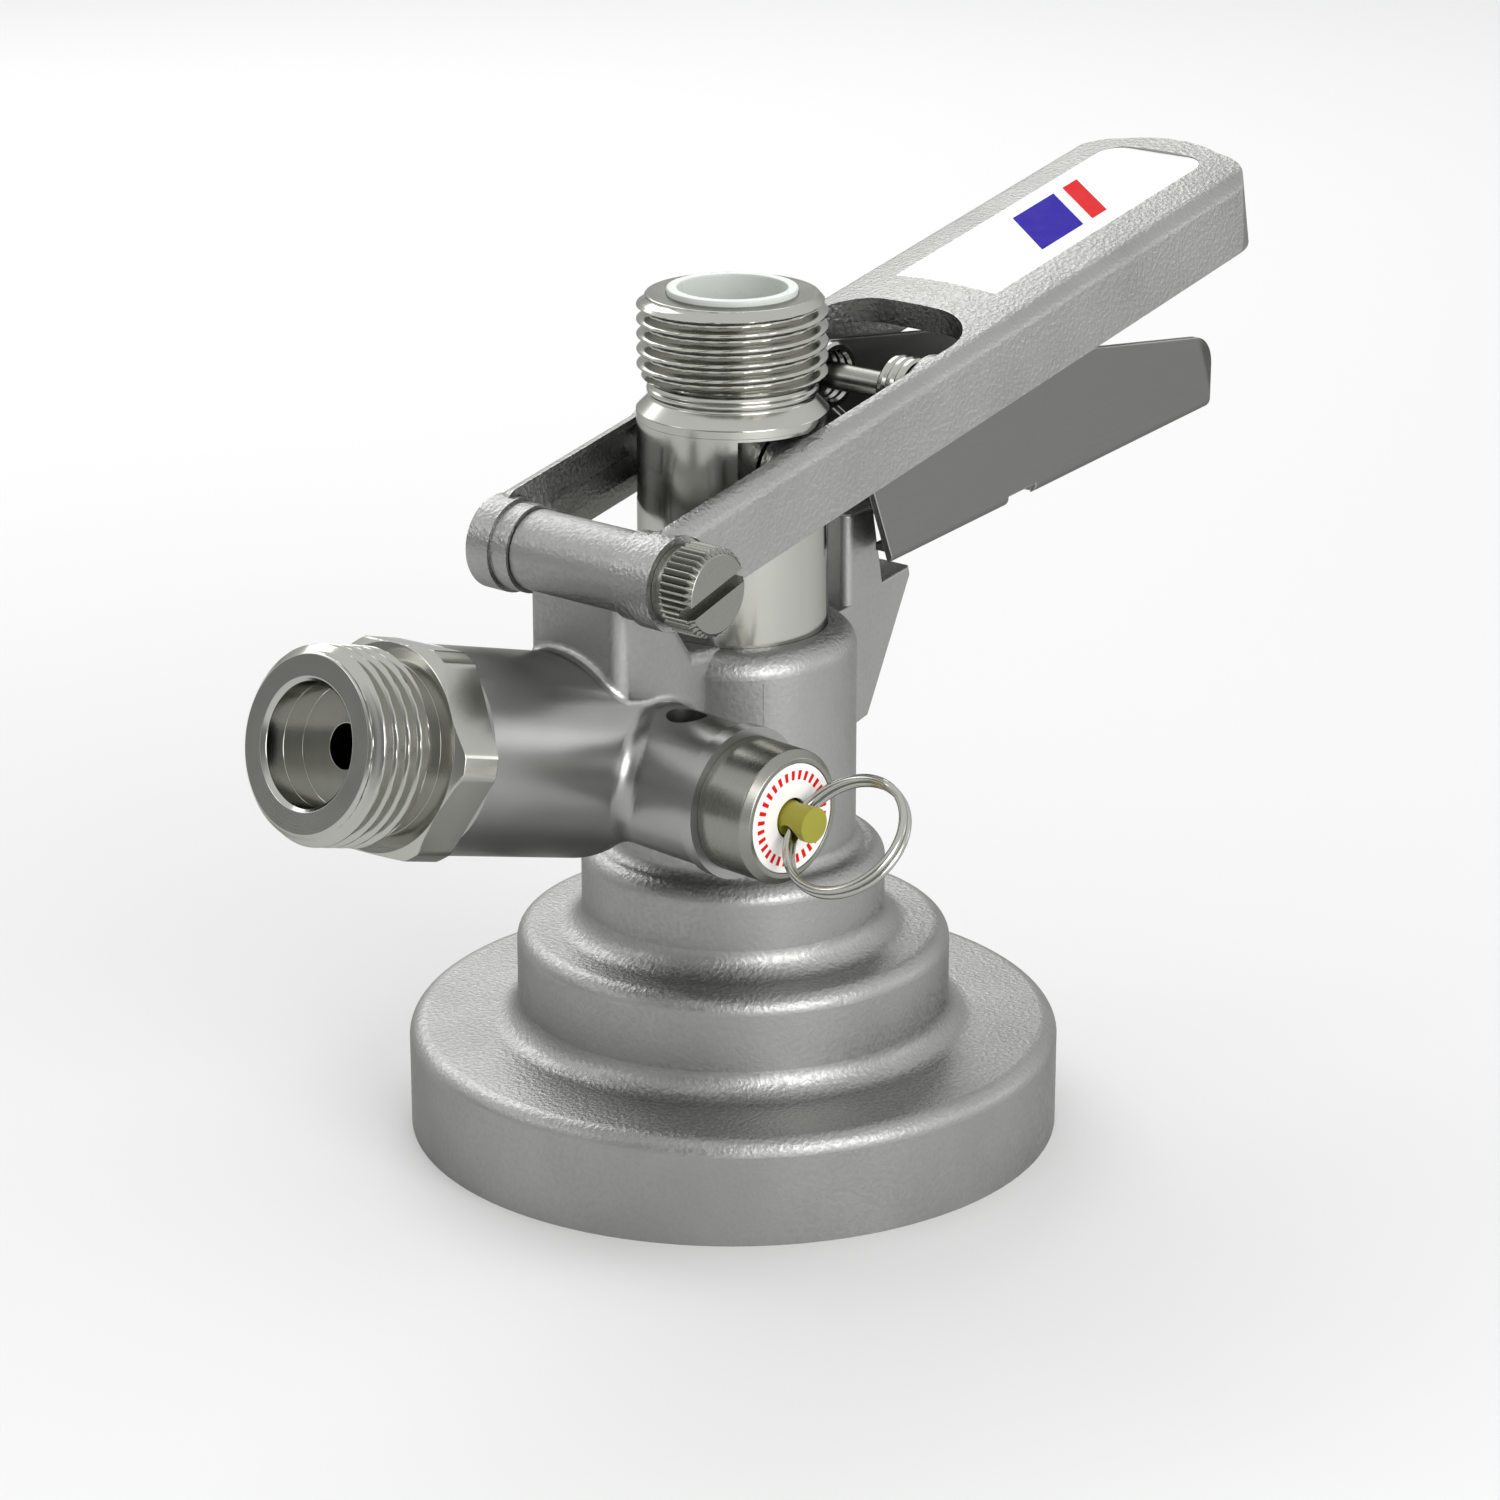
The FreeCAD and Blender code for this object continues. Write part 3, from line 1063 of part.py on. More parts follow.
NODES = (
    "body_casting", "upper_stem_seal", "lower_stem_seal", "base_gasket",
    "gas_nipple", "nipple_washer", "gas_check_valve",
    "relief_cap", "relief_disc", "relief_plunger", "relief_seal", "relief_spring", "pull_ring",
    "probe_stem", "probe_liner", "probe_tip_seal", "check_ball", "ball_retainer",
    "lever_casting", "lever_panel", "pivot_screw",
    "trigger", "trigger_pin", "trigger_spring",
)
os.makedirs("parts", exist_ok=True)
for label in NODES:
    piece = doc.getObjectsByLabel(label)[0]
    shape = piece.Shape
    if shape.isNull() or not shape.isValid() or not shape.Solids:
        raise RuntimeError(label + " is not a sound solid")
    shape.exportStep(f"parts/{label}.step")
    print(f"{label}: {len(shape.Solids)} solid, {shape.Volume:.0f} mm3")
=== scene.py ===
import math

import bmesh
import bpy
import numpy as np
from bpy.props import FloatProperty, FloatVectorProperty, IntProperty, PointerProperty
from mathutils import Matrix, Quaternion, Vector


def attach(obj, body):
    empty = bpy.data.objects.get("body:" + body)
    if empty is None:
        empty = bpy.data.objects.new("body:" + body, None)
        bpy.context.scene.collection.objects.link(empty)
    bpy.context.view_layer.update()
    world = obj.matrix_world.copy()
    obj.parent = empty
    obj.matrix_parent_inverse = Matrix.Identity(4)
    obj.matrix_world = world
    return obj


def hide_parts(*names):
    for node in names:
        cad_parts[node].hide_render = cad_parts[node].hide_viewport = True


bl_info = {
    "name": "Keg Coupler Dressing",
    "version": (1, 0, 0),
    "blender": (4, 5, 0),
    "location": "View3D > Sidebar > Coupler",
    "description": "Dresses the packed keg coupler with its threads, knurl, split ring and finishes",
    "category": "Object",
}

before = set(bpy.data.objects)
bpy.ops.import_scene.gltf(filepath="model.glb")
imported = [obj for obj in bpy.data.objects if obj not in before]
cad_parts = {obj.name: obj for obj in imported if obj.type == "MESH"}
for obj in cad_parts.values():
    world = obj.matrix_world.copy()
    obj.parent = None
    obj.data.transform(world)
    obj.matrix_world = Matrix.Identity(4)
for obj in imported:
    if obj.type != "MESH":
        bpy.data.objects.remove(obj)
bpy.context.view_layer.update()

MM = 0.001
TURN = 2 * math.pi

# Printed ink is drawn as a real layer: its thickness in millimetres, and the faces of a four-sided patch.
INK = 0.03
SLAB = ((0, 3, 2, 1), (4, 5, 6, 7), (0, 1, 5, 4), (1, 2, 6, 5), (2, 3, 7, 6), (3, 0, 4, 7))

# A turned corner's ease and the height of the rows that follow a thread, in millimetres, and the bend in
# degrees over which an edge of a solid is drawn sharp.
BEVEL = 0.1
THREAD_ROW = 0.075
SHARP = 32


# Places and sizes, in millimetres and degrees, that the source of the solids also holds.

PIVOT = Vector((-26.2, 0, 78.0))
LEVER_RISE = 11.7
INLET_TURN = 175.9
INLET_RISE = 15.7
INLET_ROOT = 46.3
PIPE_END = 53.33
RELIEF_BRANCH = 22.7
RELIEF_FACE = 30.9
RING_HOLE = 31.9
RING_TILT = 43.0


def linear(code):
    """An sRGB hex colour as linear light, with alpha 1."""
    parts = [int(code[at:at + 2], 16) / 255 for at in (1, 3, 5)]
    return tuple(p / 12.92 if p <= 0.04045 else ((p + 0.055) / 1.055) ** 2.4 for p in parts) + (1.0,)


def heading(turn, rise):
    """Unit vector of a direction given by its turn from +X and its rise, in degrees."""
    turn, rise = math.radians(turn), math.radians(rise)
    return Vector((math.cos(turn) * math.cos(rise), math.sin(turn) * math.cos(rise), math.sin(rise)))


def standing(start, turn, rise):
    """A local frame whose Z points along a heading, turned as the solids' own frames are."""
    across = Vector((-math.sin(math.radians(turn)), math.cos(math.radians(turn)), 0))
    tip = Quaternion(across, math.radians(90 - rise)).to_matrix().to_4x4()
    return Matrix.Translation(start) @ tip


INLET_AXIS = heading(INLET_TURN, INLET_RISE)
RELIEF_START = Vector((0, 0, INLET_ROOT)) + INLET_AXIS * RELIEF_BRANCH
RELIEF_AXIS = heading(INLET_TURN + 90, 0)
UPRIGHT = Matrix.Identity(4)
INLET_FRAME = standing(Vector((0, 0, INLET_ROOT)), INLET_TURN, INLET_RISE)
NIPPLE_FRAME = standing(Vector((0, 0, INLET_ROOT)) + INLET_AXIS * PIPE_END, INLET_TURN, INLET_RISE)
RELIEF_FRAME = standing(RELIEF_START, INLET_TURN + 90, 0)
SCREW_FRAME = Matrix.Translation(PIVOT) @ Matrix.Rotation(math.radians(90), 4, "X")
LEVER_FRAME = Matrix.Translation(PIVOT) @ Matrix.Rotation(math.radians(-LEVER_RISE), 4, "Y")
RING_POINT = RELIEF_START + RELIEF_AXIS * RING_HOLE
RING_ACROSS = heading(INLET_TURN + 180, RING_TILT)

# Where the camera stands, in metres, and which way it looks.
CAMERA_PLACE = (-0.3967, -0.3356, 0.2280)
CAMERA_LOOK = heading(40.0, -19.12)


# Settings that a user may change.

class ThreadSizes(bpy.types.PropertyGroup):
    crest: FloatProperty(name="Crest radius", description="Outer radius of the pipe thread",
                         default=11.456 * MM, min=5 * MM, max=30 * MM, unit="LENGTH", precision=5)
    pitch: FloatProperty(name="Pitch", description="Distance between two turns of the thread",
                         default=1.814 * MM, min=0.5 * MM, max=4 * MM, unit="LENGTH", precision=5)
    depth: FloatProperty(name="Depth", description="Depth of the thread",
                         default=1.162 * MM, min=0.1 * MM, max=3 * MM, unit="LENGTH", precision=5)
    segments: IntProperty(name="Segments", description="Divisions round each turned piece",
                          default=192, min=48, max=512)


class ScrewSizes(bpy.types.PropertyGroup):
    ribs: IntProperty(name="Ribs", description="Number of ribs in the knurl", default=38, min=12, max=90)
    rib_depth: FloatProperty(name="Rib depth", description="Depth of the knurl",
                             default=0.55 * MM, min=0.05 * MM, max=1 * MM, unit="LENGTH", precision=5)
    slot: FloatProperty(name="Slot", description="Width of the screwdriver slot",
                        default=1.6 * MM, min=0.5 * MM, max=3 * MM, unit="LENGTH", precision=5)


class FinishColours(bpy.types.PropertyGroup):
    panel: FloatVectorProperty(name="Panel", description="Colour of the grip's panel", subtype="COLOR",
                               default=linear("#EFEFF0")[:3], min=0, max=1)
    motif_cool: FloatVectorProperty(name="Cool motif", description="Colour of the panel's broad stripe",
                                    subtype="COLOR", default=linear("#291997")[:3], min=0, max=1)
    motif_warm: FloatVectorProperty(name="Warm motif", description="Colour of the panel's thin stripe",
                                    subtype="COLOR", default=linear("#CE1A1F")[:3], min=0, max=1)


# Materials.

# How bright a metal still is at a grazing angle: steel darkens a little there before it mirrors.
EDGE_TINT = linear("#B3B3B2")


def add_node(tree, kind, settings=None, **inputs):
    """Adds one node: settings are its own attributes, and inputs its sockets, by name or by number, each
    given a value or a link's start."""
    made = tree.nodes.new(kind)
    for name, value in (settings or {}).items():
        setattr(made, name, value)
    for name, value in inputs.items():
        numbered = name[0] == "i" and name[1:].isdigit()
        socket = made.inputs[int(name[1:]) if numbered else name.replace("_", " ")]
        if isinstance(value, bpy.types.NodeSocket):
            tree.links.new(value, socket)
        else:
            socket.default_value = value
    return made


def new_material(name, base, metallic, roughness, **shader):
    """A material with its shader and its place coordinates; the caller adds the pattern."""
    made = bpy.data.materials.new(name)
    made.use_nodes = True
    tree = made.node_tree
    tree.nodes.clear()
    output = tree.nodes.new("ShaderNodeOutputMaterial")
    skin = add_node(tree, "ShaderNodeBsdfPrincipled", Base_Color=base, Metallic=metallic,
                    Roughness=roughness, **shader)
    if metallic:
        skin.inputs["Specular Tint"].default_value = EDGE_TINT
    tree.links.new(skin.outputs[0], output.inputs[0])
    place = add_node(tree, "ShaderNodeTexCoord").outputs["Object"]
    return made, tree, skin, place


def within(tree, place, bar, radius, low, high):
    """1 inside a round bar along a frame's Z and 0 outside it, by a point's place in millimetres."""
    soft = 0.5
    back = bar.inverted()
    moved = add_node(tree, "ShaderNodeMapping", {"vector_type": "POINT"}, Vector=place,
                     Location=back.translation * MM, Rotation=back.to_euler()).outputs[0]
    parts = add_node(tree, "ShaderNodeSeparateXYZ", Vector=moved)
    flat = add_node(tree, "ShaderNodeCombineXYZ", X=parts.outputs[0], Y=parts.outputs[1])
    reach = add_node(tree, "ShaderNodeVectorMath", {"operation": "LENGTH"}, i0=flat.outputs[0])
    inside = 1.0
    for source, border, before, after in ((reach.outputs["Value"], radius, 1, 0),
                                          (parts.outputs[2], low, 0, 1), (parts.outputs[2], high, 1, 0)):
        step = add_node(tree, "ShaderNodeMapRange", Value=source, From_Min=(border - soft) * MM,
                        From_Max=(border + soft) * MM, To_Min=before, To_Max=after)
        inside = add_node(tree, "ShaderNodeMath", {"operation": "MULTIPLY"}, i0=inside,
                          i1=step.outputs[0]).outputs[0]
    return inside


def worn_and_highlit_edge(tree, reach_mm):
    """1 along a piece's edges and 0 on its faces, and the normal of the rounded edge."""
    round_normal = add_node(tree, "ShaderNodeBevel", {"samples": 6}, Radius=reach_mm * MM).outputs[0]
    true_normal = add_node(tree, "ShaderNodeNewGeometry").outputs["Normal"]
    agree = add_node(tree, "ShaderNodeVectorMath", {"operation": "DOT_PRODUCT"}, i0=round_normal,
                     i1=true_normal).outputs["Value"]
    edge = add_node(tree, "ShaderNodeMapRange", Value=agree, From_Min=0.985, From_Max=0.85)
    return edge.outputs[0], round_normal


def cast_stainless(name, base, grit_mm, depth_mm, rough, calm, ground=(), edge_mm=0.0):
    """Investment-cast stainless steel, shot-blasted and tumbled: an orange-peel that breaks up the
    highlights, strongest on faces that look up, with the high places and edges rubbed brighter. Calm is
    the part of the peel that upright faces keep, and ground lists the round bars that were ground
    smoother, each as its frame, radius, low end and high end."""
    gloss_swing, ground_peel, ground_gloss, worn_gloss, cloud_mm = 0.07, 0.12, 0.68, 0.7, 14.0
    made, tree, skin, place = new_material(name, linear(base), 1.0, rough)
    peel = add_node(tree, "ShaderNodeTexNoise", Vector=place, Scale=1 / (grit_mm * MM), Detail=2.0,
                    Roughness=0.45).outputs[0]
    cloud = add_node(tree, "ShaderNodeTexNoise", Vector=place, Scale=1 / (cloud_mm * MM),
                     Detail=2.0).outputs[0]
    facing = add_node(tree, "ShaderNodeTexCoord").outputs["Normal"]
    upward = add_node(tree, "ShaderNodeSeparateXYZ", Vector=facing).outputs[2]
    amount = add_node(tree, "ShaderNodeMapRange", Value=upward, From_Min=0.1, From_Max=0.75,
                      To_Min=calm, To_Max=1.0).outputs[0]
    gloss = add_node(tree, "ShaderNodeMapRange", Value=peel, From_Min=0.35, From_Max=0.65,
                     To_Min=rough + gloss_swing, To_Max=rough - gloss_swing).outputs[0]
    for bar, radius, low, high in ground:
        inside = within(tree, place, bar, radius, low, high)
        kept = add_node(tree, "ShaderNodeMapRange", Value=inside, To_Min=1.0, To_Max=ground_peel).outputs[0]
        amount = add_node(tree, "ShaderNodeMath", {"operation": "MULTIPLY"}, i0=amount, i1=kept).outputs[0]
        gloss = add_node(tree, "ShaderNodeMix", {"data_type": "FLOAT"}, i0=inside, i2=gloss,
                         i3=rough * ground_gloss).outputs[0]
    if edge_mm:
        edge = worn_and_highlit_edge(tree, edge_mm)[0]
        kept = add_node(tree, "ShaderNodeMapRange", Value=edge, To_Min=1.0, To_Max=worn_gloss).outputs[0]
        gloss = add_node(tree, "ShaderNodeMath", {"operation": "MULTIPLY"}, i0=gloss, i1=kept).outputs[0]
    tree.links.new(gloss, skin.inputs["Roughness"])
    dull, light = [tuple(part * share for part in linear(base)[:3]) + (1.0,) for share in (0.93, 1.07)]
    patch = add_node(tree, "ShaderNodeMapRange", Value=cloud, From_Min=0.3, From_Max=0.7).outputs[0]
    shade = add_node(tree, "ShaderNodeMix", {"data_type": "RGBA"}, i0=patch, i6=dull, i7=light)
    tree.links.new(shade.outputs[2], skin.inputs["Base Color"])
    bump = add_node(tree, "ShaderNodeBump", Strength=amount, Distance=depth_mm * MM, Height=peel)
    tree.links.new(bump.outputs[0], skin.inputs["Normal"])
    return made


def turned_stainless(name, base, rough, feed_mm):
    """Turned stainless bar: bright, with faint rings from the tool's feed that stretch the highlights."""
    groove_mm, smudge_mm = 0.004, 5.0
    made, tree, skin, place = new_material(name, linear(base), 1.0, rough)
    parts = add_node(tree, "ShaderNodeSeparateXYZ", Vector=place)
    flat = add_node(tree, "ShaderNodeCombineXYZ", X=parts.outputs[0], Y=parts.outputs[1])
    reach = add_node(tree, "ShaderNodeVectorMath", {"operation": "LENGTH"}, i0=flat.outputs[0])
    along = add_node(tree, "ShaderNodeMath", {"operation": "ADD"}, i0=parts.outputs[2],
                     i1=reach.outputs["Value"])
    lines = add_node(tree, "ShaderNodeTexNoise", {"noise_dimensions": "1D"}, W=along.outputs[0],
                     Scale=1 / (feed_mm * MM), Detail=2.0).outputs[0]
    smudge = add_node(tree, "ShaderNodeTexNoise", Vector=place, Scale=1 / (smudge_mm * MM),
                      Detail=3.0).outputs[0]
    both = add_node(tree, "ShaderNodeMath", {"operation": "ADD"}, i0=lines, i1=smudge).outputs[0]
    gloss = add_node(tree, "ShaderNodeMapRange", Value=both, From_Min=0.7, From_Max=1.3,
                     To_Min=rough - 0.04, To_Max=rough + 0.05)
    tree.links.new(gloss.outputs[0], skin.inputs["Roughness"])
    bump = add_node(tree, "ShaderNodeBump", Strength=0.35, Distance=groove_mm * MM, Height=lines)
    tree.links.new(bump.outputs[0], skin.inputs["Normal"])
    return made


def sheet_stainless():
    """Rolled stainless sheet, satin: long faint scratches along the rolling direction, and sheared edges
    with a painted highlight: a lighter colour, a rounded normal and a glossier finish there."""
    rough, edge_mm, scratch_mm = 0.34, 0.3, 0.006
    along, across = 60, 1600        # scratches in a metre: each about 17 mm long and 0.6 mm from the next
    # The lighter edge colour is a painted highlight along the sheet's edges, where they would catch the
    # light.
    rolled, painted_edge_highlight = linear("#7E7E7C"), linear("#D2D2CE")
    made, tree, skin, place = new_material("rolled_stainless_sheet", rolled, 1.0, rough)
    stretched = add_node(tree, "ShaderNodeMapping", {"vector_type": "POINT"}, Vector=place,
                         Scale=(along, across, across)).outputs[0]
    grain = add_node(tree, "ShaderNodeTexNoise", Vector=stretched, Scale=1.0, Detail=4.0).outputs[0]
    # The edge mask drives the painted edge highlight as well as the glossier finish there.
    edge, normal = worn_and_highlit_edge(tree, edge_mm)
    satin = add_node(tree, "ShaderNodeMapRange", Value=grain, From_Min=0.3, From_Max=0.7,
                     To_Min=rough - 0.06, To_Max=rough + 0.08).outputs[0]
    kept = add_node(tree, "ShaderNodeMapRange", Value=edge, To_Min=1.0, To_Max=0.6).outputs[0]
    gloss = add_node(tree, "ShaderNodeMath", {"operation": "MULTIPLY"}, i0=satin, i1=kept)
    tree.links.new(gloss.outputs[0], skin.inputs["Roughness"])
    # Painted highlight: the edge mask lightens the base colour toward the edge colour.
    shade = add_node(tree, "ShaderNodeMix", {"data_type": "RGBA"}, i0=edge, i6=rolled, i7=painted_edge_highlight)
    tree.links.new(shade.outputs[2], skin.inputs["Base Color"])
    bump = add_node(tree, "ShaderNodeBump", Strength=0.3, Distance=scratch_mm * MM, Height=grain,
                    Normal=normal)
    tree.links.new(bump.outputs[0], skin.inputs["Normal"])
    return made


def moulded_plastic(name, base, rough, mottle_mm, spread, glare=0.5):
    """Moulded or turned plastic, rubber and ink: one colour with a slight unevenness of gloss."""
    depth_mm = 0.004
    made, tree, skin, place = new_material(name, base, 0.0, rough, Specular_IOR_Level=glare)
    mottle = add_node(tree, "ShaderNodeTexNoise", Vector=place, Scale=1 / (mottle_mm * MM),
                      Detail=3.0).outputs[0]
    gloss = add_node(tree, "ShaderNodeMapRange", Value=mottle, From_Min=0.3, From_Max=0.7,
                     To_Min=rough - spread, To_Max=rough + spread)
    tree.links.new(gloss.outputs[0], skin.inputs["Roughness"])
    bump = add_node(tree, "ShaderNodeBump", Strength=0.3, Distance=depth_mm * MM, Height=mottle)
    tree.links.new(bump.outputs[0], skin.inputs["Normal"])
    return made


def make_materials():
    """Every finish of the coupler, by the short name that its pieces use."""
    colours = bpy.context.scene.coupler_colours
    panel, cool, warm = [tuple(ink) + (1.0,) for ink in (colours.panel, colours.motif_cool,
                                                         colours.motif_warm)]
    return {
        # Blasted casting: a peel of about 0.6 mm, which shows as it is. Its pipe and boss were ground.
        "casting": cast_stainless(
            "blasted_cast_stainless", "#A0A09E", grit_mm=0.56, depth_mm=0.13, rough=0.46, calm=0.25,
            ground=((INLET_FRAME, 12.9, 27, 60), (RELIEF_FRAME, 9.7, 3.5, 24))),
        # Tumbled casting of the lever: the peel on every face, and edges that the hand and the drum keep
        # bright.
        "grip": cast_stainless("tumbled_cast_stainless", "#A0A09E", grit_mm=0.54, depth_mm=0.15, rough=0.38,
                               calm=0.7, edge_mm=0.5),
        # Turned from bar: a feed of 0.12 mm, which is a faint satin at this size.
        "turned": turned_stainless("turned_stainless", "#8E8E88", 0.27, 0.12),
        # Turned and then polished, so that a thread's crests and a bevel flash.
        "bright": turned_stainless("polished_stainless", "#B2B2AC", 0.15, 0.1),
        # Drawn through a die: the marks run round the wire and barely show.
        "wire": turned_stainless("drawn_stainless_wire", "#B0B0AA", 0.16, 0.3),
        "sheet": sheet_stainless(),
        # Nitrile straight from the mould: near black, matt, with a fine bloom.
        "rubber": moulded_plastic("moulded_nitrile_rubber", linear("#1B1B1C"), 0.55, 0.8, 0.08),
        # Acetal, turned for the liner and moulded for the rest: a soft waxy gloss.
        "liner": moulded_plastic("turned_acetal_liner", linear("#C9CEC8"), 0.32, 1.2, 0.06),
        "disc": moulded_plastic("moulded_acetal_disc", linear("#ECEAE6"), 0.4, 0.9, 0.05),
        "plunger": moulded_plastic("moulded_olive_acetal", linear("#8E8A1E"), 0.38, 0.7, 0.08),
        # Enamel and its inks, flatted: they keep their colour where the room would glare on them.
        "panel": moulded_plastic("enamelled_panel", panel, 0.5, 2.0, 0.05, glare=0.12),
        "cool": moulded_plastic("cool_panel_ink", cool, 0.5, 2.0, 0.05, glare=0.02),
        "warm": moulded_plastic("warm_panel_ink", warm, 0.5, 2.0, 0.05, glare=0.02),
    }


MATERIALS = {}


def finish_of(name):
    """A material by its short name; all of them are made when the first is asked for."""
    if not MATERIALS:
        MATERIALS.update(make_materials())
    return MATERIALS[name]


# Mesh building.

def piece_from(name, points, faces, place=UPRIGHT):
    """A piece from points in millimetres in a local frame, which its object keeps."""
    same_place = 1e-7
    mesh = bpy.data.meshes.new(name)
    mesh.from_pydata([tuple(p) for p in np.asarray(points) * MM], [], faces)
    mesh.validate()
    work = bmesh.new()
    work.from_mesh(mesh)
    bmesh.ops.remove_doubles(work, verts=work.verts, dist=same_place)
    bmesh.ops.recalc_face_normals(work, faces=work.faces)
    work.to_mesh(mesh)
    work.free()
    made = bpy.data.objects.new(name, mesh)
    bpy.context.scene.collection.objects.link(made)
    made.matrix_world = Matrix.Translation(place.translation * MM) @ place.to_3x3().to_4x4()
    return made


def dress(piece, body, finish, replaced=(), angle=30):
    """Gives a piece its finish and shading, and ties it to its body and to the nodes it stands for."""
    mesh = piece.data
    mesh.materials.clear()
    mesh.materials.append(finish_of(finish))
    mesh.polygons.foreach_set("use_smooth", [True] * len(mesh.polygons))
    mesh.set_sharp_from_angle(angle=math.radians(angle))
    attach(piece, body)
    if replaced:
        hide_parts(*replaced)


def eased(profile, size):
    """The closed profile with every sharp corner turned into a small arc, and a row beside each arc that
    keeps the faces flat up to it."""
    steps, smallest, straight = 3, 0.01, math.radians(165)
    arc_share, row_reach, row_share, clear = 0.45, 1.5, 0.48, 1.1
    points = [Vector(corner) for corner in profile]
    made = []
    for index, corner in enumerate(points):
        before, after = points[index - 1], points[(index + 1) % len(points)]
        into, out = (before - corner), (after - corner)
        reach = min(size, into.length * arc_share, out.length * arc_share)
        if reach < smallest or into.angle(out, 0) > straight:
            made.append(corner)
            continue
        first = corner + into.normalized() * reach
        last = corner + out.normalized() * reach
        beside = min(reach * row_reach, into.length * row_share)
        if beside > reach * clear:
            made.append(corner + into.normalized() * beside)
        for step in range(steps + 1):
            t = step / steps
            made.append(first * (1 - t) ** 2 + corner * 2 * t * (1 - t) + last * t ** 2)
        beside = min(reach * row_reach, out.length * row_share)
        if beside > reach * clear:
            made.append(corner + out.normalized() * beside)
    return made


def divided(profile, spacing, low, high):
    """The profile with long runs between two heights cut into short ones, for a thread."""
    made = []
    for index, corner in enumerate(profile):
        following = profile[(index + 1) % len(profile)]
        made.append(corner)
        inside = max(corner[1], following[1]) > low and min(corner[1], following[1]) < high
        count = int(abs(following[1] - corner[1]) / spacing) if inside else 0
        for step in range(1, count):
            made.append(Vector(corner).lerp(Vector(following), step / count))
    return made


def turned(name, profile, place, segments, shape=None, start=0.0, borders=()):
    """Turns a closed profile of (radius, height) round the local Z axis; shape(angles, radii, height) may
    change the radii of a row, and a line of points runs up each border angle."""
    angles = start + np.arange(segments) * TURN / segments
    for border in borders:
        angles[np.argmin(np.abs(angles - border))] = border
    points, faces = [], []
    for radius, height in profile:
        radii = np.full(segments, float(radius))
        if shape is not None:
            radii = shape(angles, radii, float(height))
        level = np.full(segments, float(height))
        points += list(zip(radii * np.cos(angles), radii * np.sin(angles), level))
    rows = len(profile)
    for row in range(rows):
        following = (row + 1) % rows
        for step in range(segments):
            ahead = (step + 1) % segments
            faces.append((row * segments + step, row * segments + ahead, following * segments + ahead,
                          following * segments + step))
    return piece_from(name, points, faces, place)


def thread_radius(angles, height, sizes):
    """Radius in millimetres of a right-hand pipe thread with rounded crests and roots."""
    land, flank, rounding = 0.13, 0.74, 0.05
    phase = (height * MM / sizes.pitch - angles / TURN) % 1.0
    ridge = np.clip((np.abs(phase * 2 - 1) - land) / flank, 0, 1)
    ridge = ridge - rounding * np.sin(TURN * ridge)
    return (sizes.crest - sizes.depth * (1 - ridge)) / MM


def box_cutter(size, place):
    """A plain block in millimetres, used once to cut a piece and then removed."""
    x, y, z = (part / 2 for part in size)
    points = [(sx * x, sy * y, sz * z) for sx in (-1, 1) for sy in (-1, 1) for sz in (-1, 1)]
    faces = [(0, 1, 3, 2), (4, 6, 7, 5), (0, 4, 5, 1), (2, 3, 7, 6), (0, 2, 6, 4), (1, 5, 7, 3)]
    return piece_from("cutter", points, faces, place)


def carve(piece, cutter):
    """Cuts one mesh from another and keeps the result as the piece's own mesh."""
    change = piece.modifiers.new("cut", "BOOLEAN")
    change.operation = "DIFFERENCE"
    change.solver = "EXACT"
    change.object = cutter
    bpy.context.view_layer.update()
    graph = bpy.context.evaluated_depsgraph_get()
    result = bpy.data.meshes.new_from_object(piece.evaluated_get(graph))
    piece.modifiers.clear()
    piece.data = result
    bpy.data.objects.remove(cutter)


# Operators, one for each piece or group of like pieces.


class COUPLER_OT_probe(bpy.types.Operator):
    """Make the threaded probe and its liner"""
    bl_idname = "coupler.probe"
    bl_label = "Probe"

    def execute(self, context):
        sizes = context.scene.coupler_thread
        crest = sizes.crest / MM
        low, top, seal_low, cup_low, liner_low = 22.0, 105.4, 23.5, 99.4, 63.4
        stem, neck, flow, seat, socket, cup = 11.55, 10.0, 5.2, 2.604, 6.62, 7.9
        flat_half, flat_low, flat_high, thread_low = 7.95, 80.19, 89.99, 95.0
        outline = [
            (seat, low), (11.15, low), (11.15, seal_low), (10.6, seal_low), (10.6, seal_low + 5),
            (stem, seal_low + 5), (stem, flat_low - 0.01), (stem, flat_low + 0.01),
            (stem, flat_high - 0.01), (stem, flat_high + 0.01), (stem, 90.35), (11.6, 90.36),
            (11.6, 91.35), (neck, 92.95), (neck, 93.3), (10.3, 93.6), (10.3, 94.0), (neck, 94.3),
            (neck, 94.8), (crest, 95.8), (crest, top - 1.3), (10.3, top), (cup, top), (cup, cup_low),
            (socket, cup_low), (socket, liner_low), (flow, liner_low), (flow, 29.6), (seat, 27.0)]
        profile = divided(eased(outline, BEVEL), THREAD_ROW, 94.6, 105.0)

        def shape(angles, radii, height):
            if height > thread_low and radii[0] > neck:
                return np.minimum(radii, thread_radius(angles, height, sizes))
            if flat_low < height < flat_high and radii[0] > 11:
                reach = flat_half / np.maximum(np.abs(np.sin(angles)), 1e-6)
                return np.minimum(radii, reach)
            return radii

        probe = turned("probe_stem_turned", profile, UPRIGHT, sizes.segments, shape)
        dress(probe, "probe", "bright", ["probe_stem"])
        inner, sleeve, rim, rim_top = 5.35, 6.6, 7.85, 106.1
        liner = turned("probe_liner_turned", eased([
            (inner, liner_low + 0.1), (sleeve, liner_low + 0.1), (sleeve, cup_low), (rim, cup_low),
            (rim, rim_top), (sleeve, rim_top), (sleeve, 104.0), (inner, 98.2)], 0.25), UPRIGHT,
            sizes.segments)
        dress(liner, "probe", "liner", ["probe_liner"])
        return {"FINISHED"}


